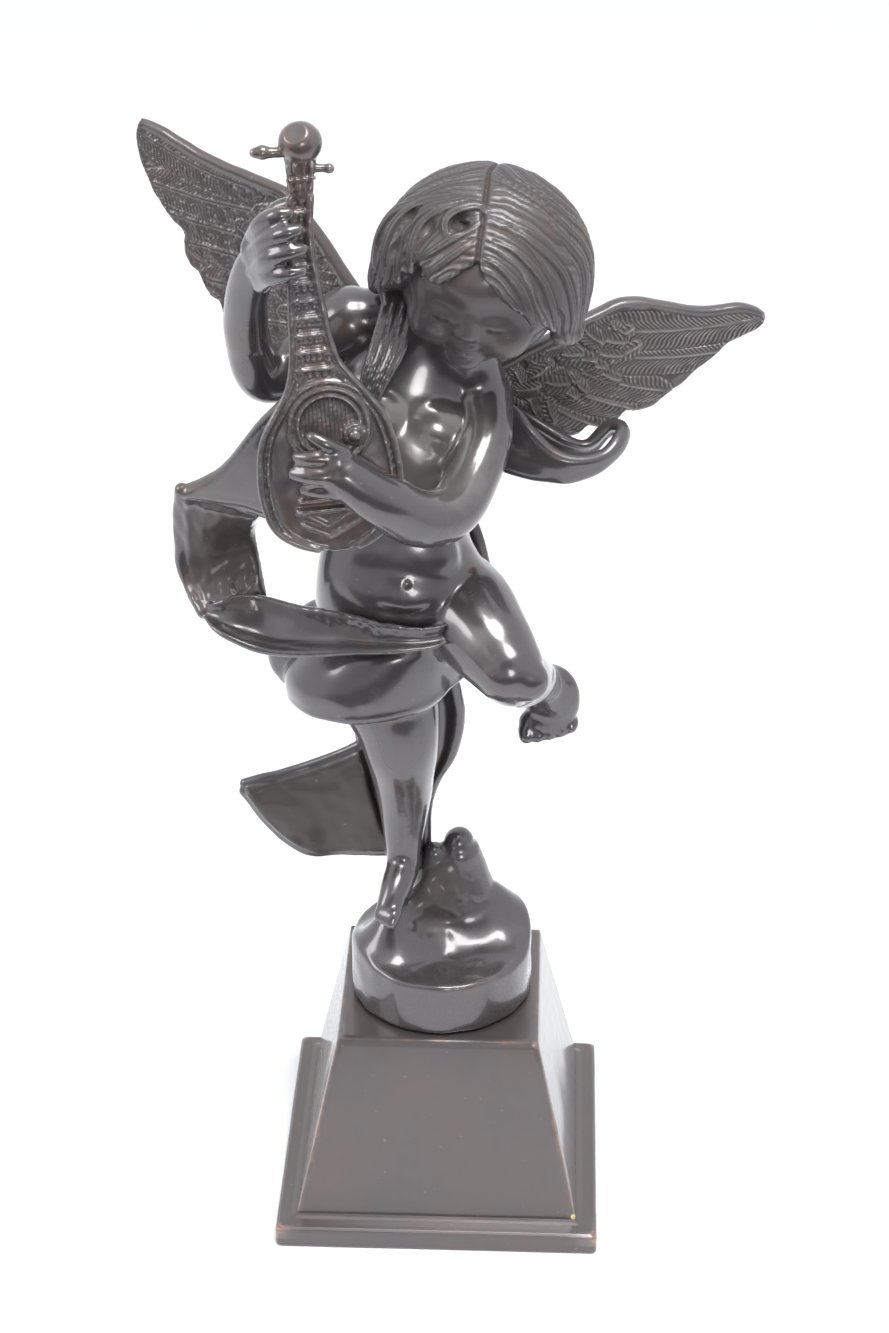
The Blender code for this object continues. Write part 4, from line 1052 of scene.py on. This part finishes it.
def buildSash():
    shapes = [
        cloth("flap", sash["flap"], bow=1.2, rim=0.5),
        cloth("panel", sash["panel"], bow=2, rim=0.8, folds=((0.3, 0.08, 0.5), (0.62, 0.1, -0.6))),
        cloth("band", sash["band"], bow=-3.2, thick=2.2, rim=0.1, folds=((0.35, 0.14, -0.8),)),
        cloth("strap", sash["strap"], thick=1.0, rim=0.2,
              folds=((0.12, 0.07, 1.1), (0.38, 0.07, 1.2), (0.64, 0.07, 1.1), (0.9, 0.07, 0.9))),
        cloth("loop", sash["loop"], rim=0.2, bow=1.2),
        cloth("backSash", sash["back"], rim=0.6, folds=((0.35, 0.08, 0.9), (0.65, 0.08, 0.9))),
        rimOf(sash["panel"][0], 2.3), rimOf(sash["flap"][1], 1.8),
    ]
    made = fuse(shapes, "sash", 0.56, 5)
    at = pointsOf(made)
    inner = (at[:, 0] < -55) & (at[:, 2] < 180) & (at[:, 2] > 146)
    push(made, inner * 0.13 * ripple(at * np.array((1.5, 1.5, 0.5)), 5.5, 51))
    push(made, around(at, (-22, -24, 148), (22, 9, 3.4)) * 0.24 * ripple(at, 4.2, 52))
    push(made, 0.1 * ripple(pointsOf(made), 12, 53))
    at, facing = pointsOf(made), normalsOf(made)
    # the hollow of the hanging panel is left rough and given painted shade, and the cloth at the back is left
    # rough and made darker
    hanging = step(-at[:, 0], 54, 58) * step(at[:, 2], 146, 150) * step(-at[:, 2], -180, -176)
    hanging = hanging * (facing[:, 1] < 0.1) * step(at[:, 0], -78, -74)
    roughAndShaded = np.maximum(hanging, 0.7 * step(at[:, 1], 10, 16) * (facing[:, 2] > -0.4))
    return settle(made, clothLook, "cherub", 6, -1.1 * roughAndShaded)


def buildDrape():
    shapes = [
        cloth("side", sash["side"], rim=0.6, folds=((0.4, 0.1, 0.8),)),
        cloth("behind", sash["behind"], rim=0.4,
              folds=((0.3, 0.08, 1.0), (0.6, 0.08, -1.0), (0.8, 0.06, 0.9))),
        cloth("trailing", sash["trailing"], bow=3.4, rim=0.7, thick=1.5),
        rimOf(sash["trailing"][1], 1.9), rimOf(sash["trailing"][0], 1.6),
    ]
    made = fuse(shapes, "drapery", 0.56, 5)
    push(made, 0.12 * ripple(pointsOf(made), 10, 61))
    at, facing = pointsOf(made), normalsOf(made)
    # painted shade: the inside of the trailing flap, away from its rims and facing forward, is left rough and
    # made darker
    edge = np.minimum(distanceTo(at, sash["trailing"][0], 6)[0], distanceTo(at, sash["trailing"][1], 6)[0])
    roughAndShaded = (facing[:, 1] < -0.2) * step(edge, 1.8, 3.6) * step(-at[:, 0], 10, 14)
    push(made, 0.1 * roughAndShaded * ripple(at, 7, 62))
    return settle(made, clothLook, "cherub", 6, -1.0 * roughAndShaded)


rock = {
    "radius": 29.45,
    "drum": 18.6,
    # shares of the radius and the height, from the middle of the top over the rim to the base
    "latitude": [0, 0.60, 0.63, 0.655, 0.9, 0.93, 1],
    "far": [0, 0.965, 0.992, 1, 1, 0.985, 0],
    "rise": [1, 1, 0.975, 0.93, 0.05, 0, 0],
    "lumps": [
        ((-0.51, -0.24), (0.36, 0.31), 14.5), ((0.31, 0.31), (0.62, 0.38), 18),
        ((-0.12, 0.03), (0.3, 0.19), 14),
        ((0.17, 0.14), (0.24, 0.17), 10), ((0.07, -0.48), (0.58, 0.24), -1.8),
    ],
    "spurs": [
        [(9, 9, 24, 11), (7.4, 9, 34, 9), (6.2, 8.8, 42, 7.6), (5.6, 8.4, 47.4, 6.6), (5.4, 8.2, 49.8, 5.2)],
        [(-2, 6, 40, 5), (2, 7, 43.6, 5), (6, 8, 45, 5.4)],
        [(-3, 5, 34, 6.4), (-2.6, 6, 42, 5.2), (-2.4, 6, 46.6, 3.9)],
        [(-3, 6, 38, 5), (3, 7, 40, 5), (8, 8, 42, 5)],
    ],
}


def buildRock():
    def shaper(latitude, turn, at):
        far, rise = (np.interp(latitude, rock["latitude"], rock[key]) for key in ("far", "rise"))
        flat = np.column_stack([far * np.cos(turn), far * np.sin(turn)])
        height = rock["drum"] + sum(lift * around(flat, place, reach) for place, reach, lift in rock["lumps"])
        return np.column_stack([rock["radius"] * flat, height * rise])

    shapes = [shaped("drum", 220, 120, shaper), *[bar(rows, 8, 6) for rows in rock["spurs"]]]
    made = fuse(shapes, "rock", 0.5, 4)
    at = pointsOf(made)
    # broken stone between the foot and the spur, and the hollow in the spur's side
    broken = around(at, (-1, -3, 34), (12, 7, 9))
    push(made, broken * (0.45 * ripple(at, 9, 71) + 0.1 * ripple(at, 3.4, 72)))
    apply(made, "SMOOTH", factor=0.5, iterations=12)
    dab(made, (1, -7, 27), (12, 6, 4.2), -3.0)
    carve(made, [(-12, -9, 26), (-4, -8.5, 31.5), (3, -7, 32.6), (12, -1, 37)], 1.4, -1.3)
    at = pointsOf(made)
    foot = at[:, 2] < 0.4
    push(made, 0.14 * ripple(at, 11, 73) * ~foot)
    at = pointsOf(made)
    at[:, 2] = np.maximum(at[:, 2], 0)
    movePoints(made, at)
    # the stone between the foot and the spur is left rough and made darker; the darkening is partly painted
    # shade on the spur's shaded side
    roughAndShaded = around(at, (-2, -2, 38), (13, 9, 12)) * (at[:, 2] > 20)
    return settle(made, rockLook, "cherub", 3, -1.1 * roughAndShaded)


plinth = {
    "foot": 105.0, "blockBase": 92.0, "blockTop": 64.5, "height": 69.3, "corner": 1.8,
    "blockLow": 7.2, "footTop": 8.7, "footBevel": 0.7, "blockBevel": 0.55,
    # width and height of the foot's rolled edge and of the hollowed ledge round the block
    "stages": [(105.0, 5.6), (104.4, 6.6), (102.8, 7.2), (99.6, 7.3), (95.6, 7.5), (93.2, 8.0), (90.0, 8.5)],
}


def raisedBlock(name, wide, low, high, corner=0.0):
    only(None)
    bpy.ops.mesh.primitive_cube_add(size=1, location=(0, 0, (low + high) / 2 - seatHeight))
    made = named(name)
    bpy.ops.transform.resize(value=(wide, wide, high - low))
    bpy.ops.object.transform_apply(location=True, rotation=True, scale=True)
    if corner:
        for edge in made.data.edges:
            one, two = (made.data.vertices[i].co for i in edge.vertices)
            edge.select = abs(one.z - two.z) > 1
        for item in (*made.data.vertices, *made.data.polygons):
            item.select = False
        bpy.context.tool_settings.mesh_select_mode = (False, True, False)
        bpy.ops.object.mode_set(mode="EDIT")
        bpy.ops.mesh.bevel(offset=corner, segments=6)
        bpy.ops.object.mode_set(mode="OBJECT")
    return made


def topFace(piece):
    only(piece)
    highest = max(polygon.center.z for polygon in piece.data.polygons)
    for item in (*piece.data.vertices, *piece.data.edges):
        item.select = False
    for polygon in piece.data.polygons:
        polygon.select = polygon.center.z > highest - 0.01
    bpy.context.tool_settings.mesh_select_mode = (False, False, True)
    bpy.ops.object.mode_set(mode="EDIT")


def roundEdges(piece, width, segments, degrees):
    limit = math.radians(degrees)
    apply(piece, "BEVEL", width=width, segments=segments, limit_method="ANGLE", angle_limit=limit)


def buildPlinth():
    stages = plinth["stages"]
    foot = raisedBlock("foot", plinth["foot"], 0, stages[0][1], plinth["corner"])
    for (wide, high), (nextWide, nextHigh) in zip(stages, stages[1:]):
        topFace(foot)
        bpy.ops.mesh.extrude_region_move(TRANSFORM_OT_translate={"value": (0, 0, nextHigh - high + 0.02)})
        bpy.ops.transform.resize(value=(nextWide / wide, nextWide / wide, 1), center_override=(0, 0, 0))
        bpy.ops.object.mode_set(mode="OBJECT")
    topFace(foot)
    bpy.ops.mesh.poke()
    bpy.ops.object.mode_set(mode="OBJECT")
    roundEdges(foot, plinth["footBevel"], 3, 50)
    block = raisedBlock("block", plinth["blockBase"], plinth["blockLow"], plinth["height"])
    topFace(block)
    share = plinth["blockTop"] / plinth["blockBase"]
    bpy.ops.transform.resize(value=(share, share, 1), center_override=(0, 0, 0))
    bpy.ops.object.mode_set(mode="OBJECT")
    roundEdges(block, plinth["blockBevel"], 2, 40)
    apply(block, "SUBSURF", subdivision_type="SIMPLE", levels=5, render_levels=5)
    apply(foot, "SUBSURF", subdivision_type="SIMPLE", levels=3, render_levels=3)
    made = join([block, foot], "plinthBlock")
    # slow unevenness of the cast faces; wear along the edges and at the foot's corners
    at = pointsOf(made)
    under = at[:, 2] < 0.3 - seatHeight
    push(made, (0.05 * ripple(at, 34, 81) + 0.012 * ripple(at, 9, 82)) * ~under)
    high = at[:, 2] + seatHeight
    wide = np.interp(high, [plinth["blockLow"], plinth["height"]], [plinth["blockBase"], plinth["blockTop"]])
    half = np.where(high > plinth["footTop"], wide, plinth["foot"]) / 2
    near, far = np.sort(np.abs(at[:, :2]), axis=1).T
    upright = swell(half - near, 0.6) * (high > plinth["footTop"])
    rim = swell(plinth["height"] - high, 0.7) * swell(half - far, 0.9)
    cornered = swell(half - near, 5) * (high < 8.6) * (high > 3) * (half - far < 2.2)
    return settle(made, baseLook, "plinth", 2, 1.3 * upright + 0.8 * rim + 0.9 * cornered)


buildBody()
buildHead()
buildHair()
buildWing("leftWing", wings["left"])
buildWing("rightWing", wings["right"])
buildMandolin()
buildSash()
buildDrape()
buildRock()
buildPlinth()

studio = {
    "glow": 1.12, "floorFront": -0.40, "floorBack": 3.5, "floorWidth": 5,
    "lights": [
        ("topLight", (0.15, -0.25, 1.1), 0.5, 9.0), ("leftLight", (-0.9, -0.3, 0.75), 0.5, 4.0),
        ("frontLight", (0.28, -1.15, 0.42), 0.3, 2.6),
    ],
}


def buildStudio():
    only(None)
    bpy.ops.mesh.primitive_plane_add(size=1, location=(0, 0, -0.0002))
    floor = named("studioFloor")
    at = pointsOf(floor)
    at[:, 0] *= studio["floorWidth"]
    at[:, 1] = np.where(at[:, 1] > 0, studio["floorBack"], studio["floorFront"])
    movePoints(floor, at)
    bpy.ops.object.transform_apply(location=True, rotation=True, scale=True)
    paper = Finish("studioPaper")
    paper.feed("Base Color", (0.86, 0.87, 0.89, 1))
    paper.feed("Roughness", 0.6)
    floor.data.materials.append(paper.made)

    world = bpy.data.worlds.new("studioLight")
    bpy.context.scene.world = world
    world.use_nodes = True
    tree = world.node_tree
    back = tree.nodes["Background"]
    place = tree.nodes.new("ShaderNodeTexCoord")
    apart = tree.nodes.new("ShaderNodeSeparateXYZ")
    tree.links.new(place.outputs["Generated"], apart.inputs[0])
    front = Value(tree, apart.outputs[1])
    up = Value(tree, apart.outputs[2])
    # white all round, but dark past the table's front edge and where the camera stands, and
    # half dim along the front wall
    below = ((front * -1 - 0.3) * 4).clamp() * ((up * -1 - 0.06) * 7).clamp()
    stand = ((front * -0.87 + up * 0.49 - 0.9) * 16).clamp()
    wall = ((front * -1 - 0.4) * 3).clamp() * ((0.42 - up) * 5).clamp()
    glow = (1 - below * 0.93) * (1 - stand * 0.85) * (1 - wall * 0.35) * studio["glow"]
    tree.links.new(glow.socket, back.inputs["Strength"])
    back.inputs["Color"].default_value = (0.97, 0.98, 1.0, 1)

    aim = Vector((0, 0, 0.2))
    for name, place, size, power in studio["lights"]:
        light = bpy.data.lights.new(name, "AREA")
        light.shape = "DISK"
        light.size = size
        light.energy = power
        lamp = bpy.data.objects.new(name, light)
        bpy.context.scene.collection.objects.link(lamp)
        lamp.location = place
        lamp.rotation_euler = (aim - Vector(place)).to_track_quat("-Z", "Y").to_euler()


# degrees, metres, and the focal length in pixels of the picture
view = {"focal": 2824, "pictureHeight": 1333, "tilt": 29.25, "turn": 2.34, "roll": -0.09,
        "target": (0.00108, 0, 0.18906), "away": 0.87588}


def buildCamera():
    made = bpy.data.cameras.new("camera")
    camera = bpy.data.objects.new("camera", made)
    bpy.context.scene.collection.objects.link(camera)
    made.sensor_width = 36
    made.lens = view["focal"] * made.sensor_width / view["pictureHeight"]
    made.clip_start = 0.01
    tilt, turn, roll = (math.radians(view[key]) for key in ("tilt", "turn", "roll"))
    back = Vector((math.sin(turn) * math.cos(tilt), -math.cos(turn) * math.cos(tilt), math.sin(tilt)))
    right = Vector((math.cos(turn), math.sin(turn), 0))
    up = back.cross(right)
    right, up = right * math.cos(roll) + up * math.sin(roll), up * math.cos(roll) - right * math.sin(roll)
    camera.location = Vector(view["target"]) + back * view["away"]
    camera.rotation_euler = Matrix((right, up, back)).transposed().to_euler()
    bpy.context.scene.camera = camera
    bpy.context.scene.view_settings.view_transform = "Standard"


buildStudio()
buildCamera()
print("studio ready")
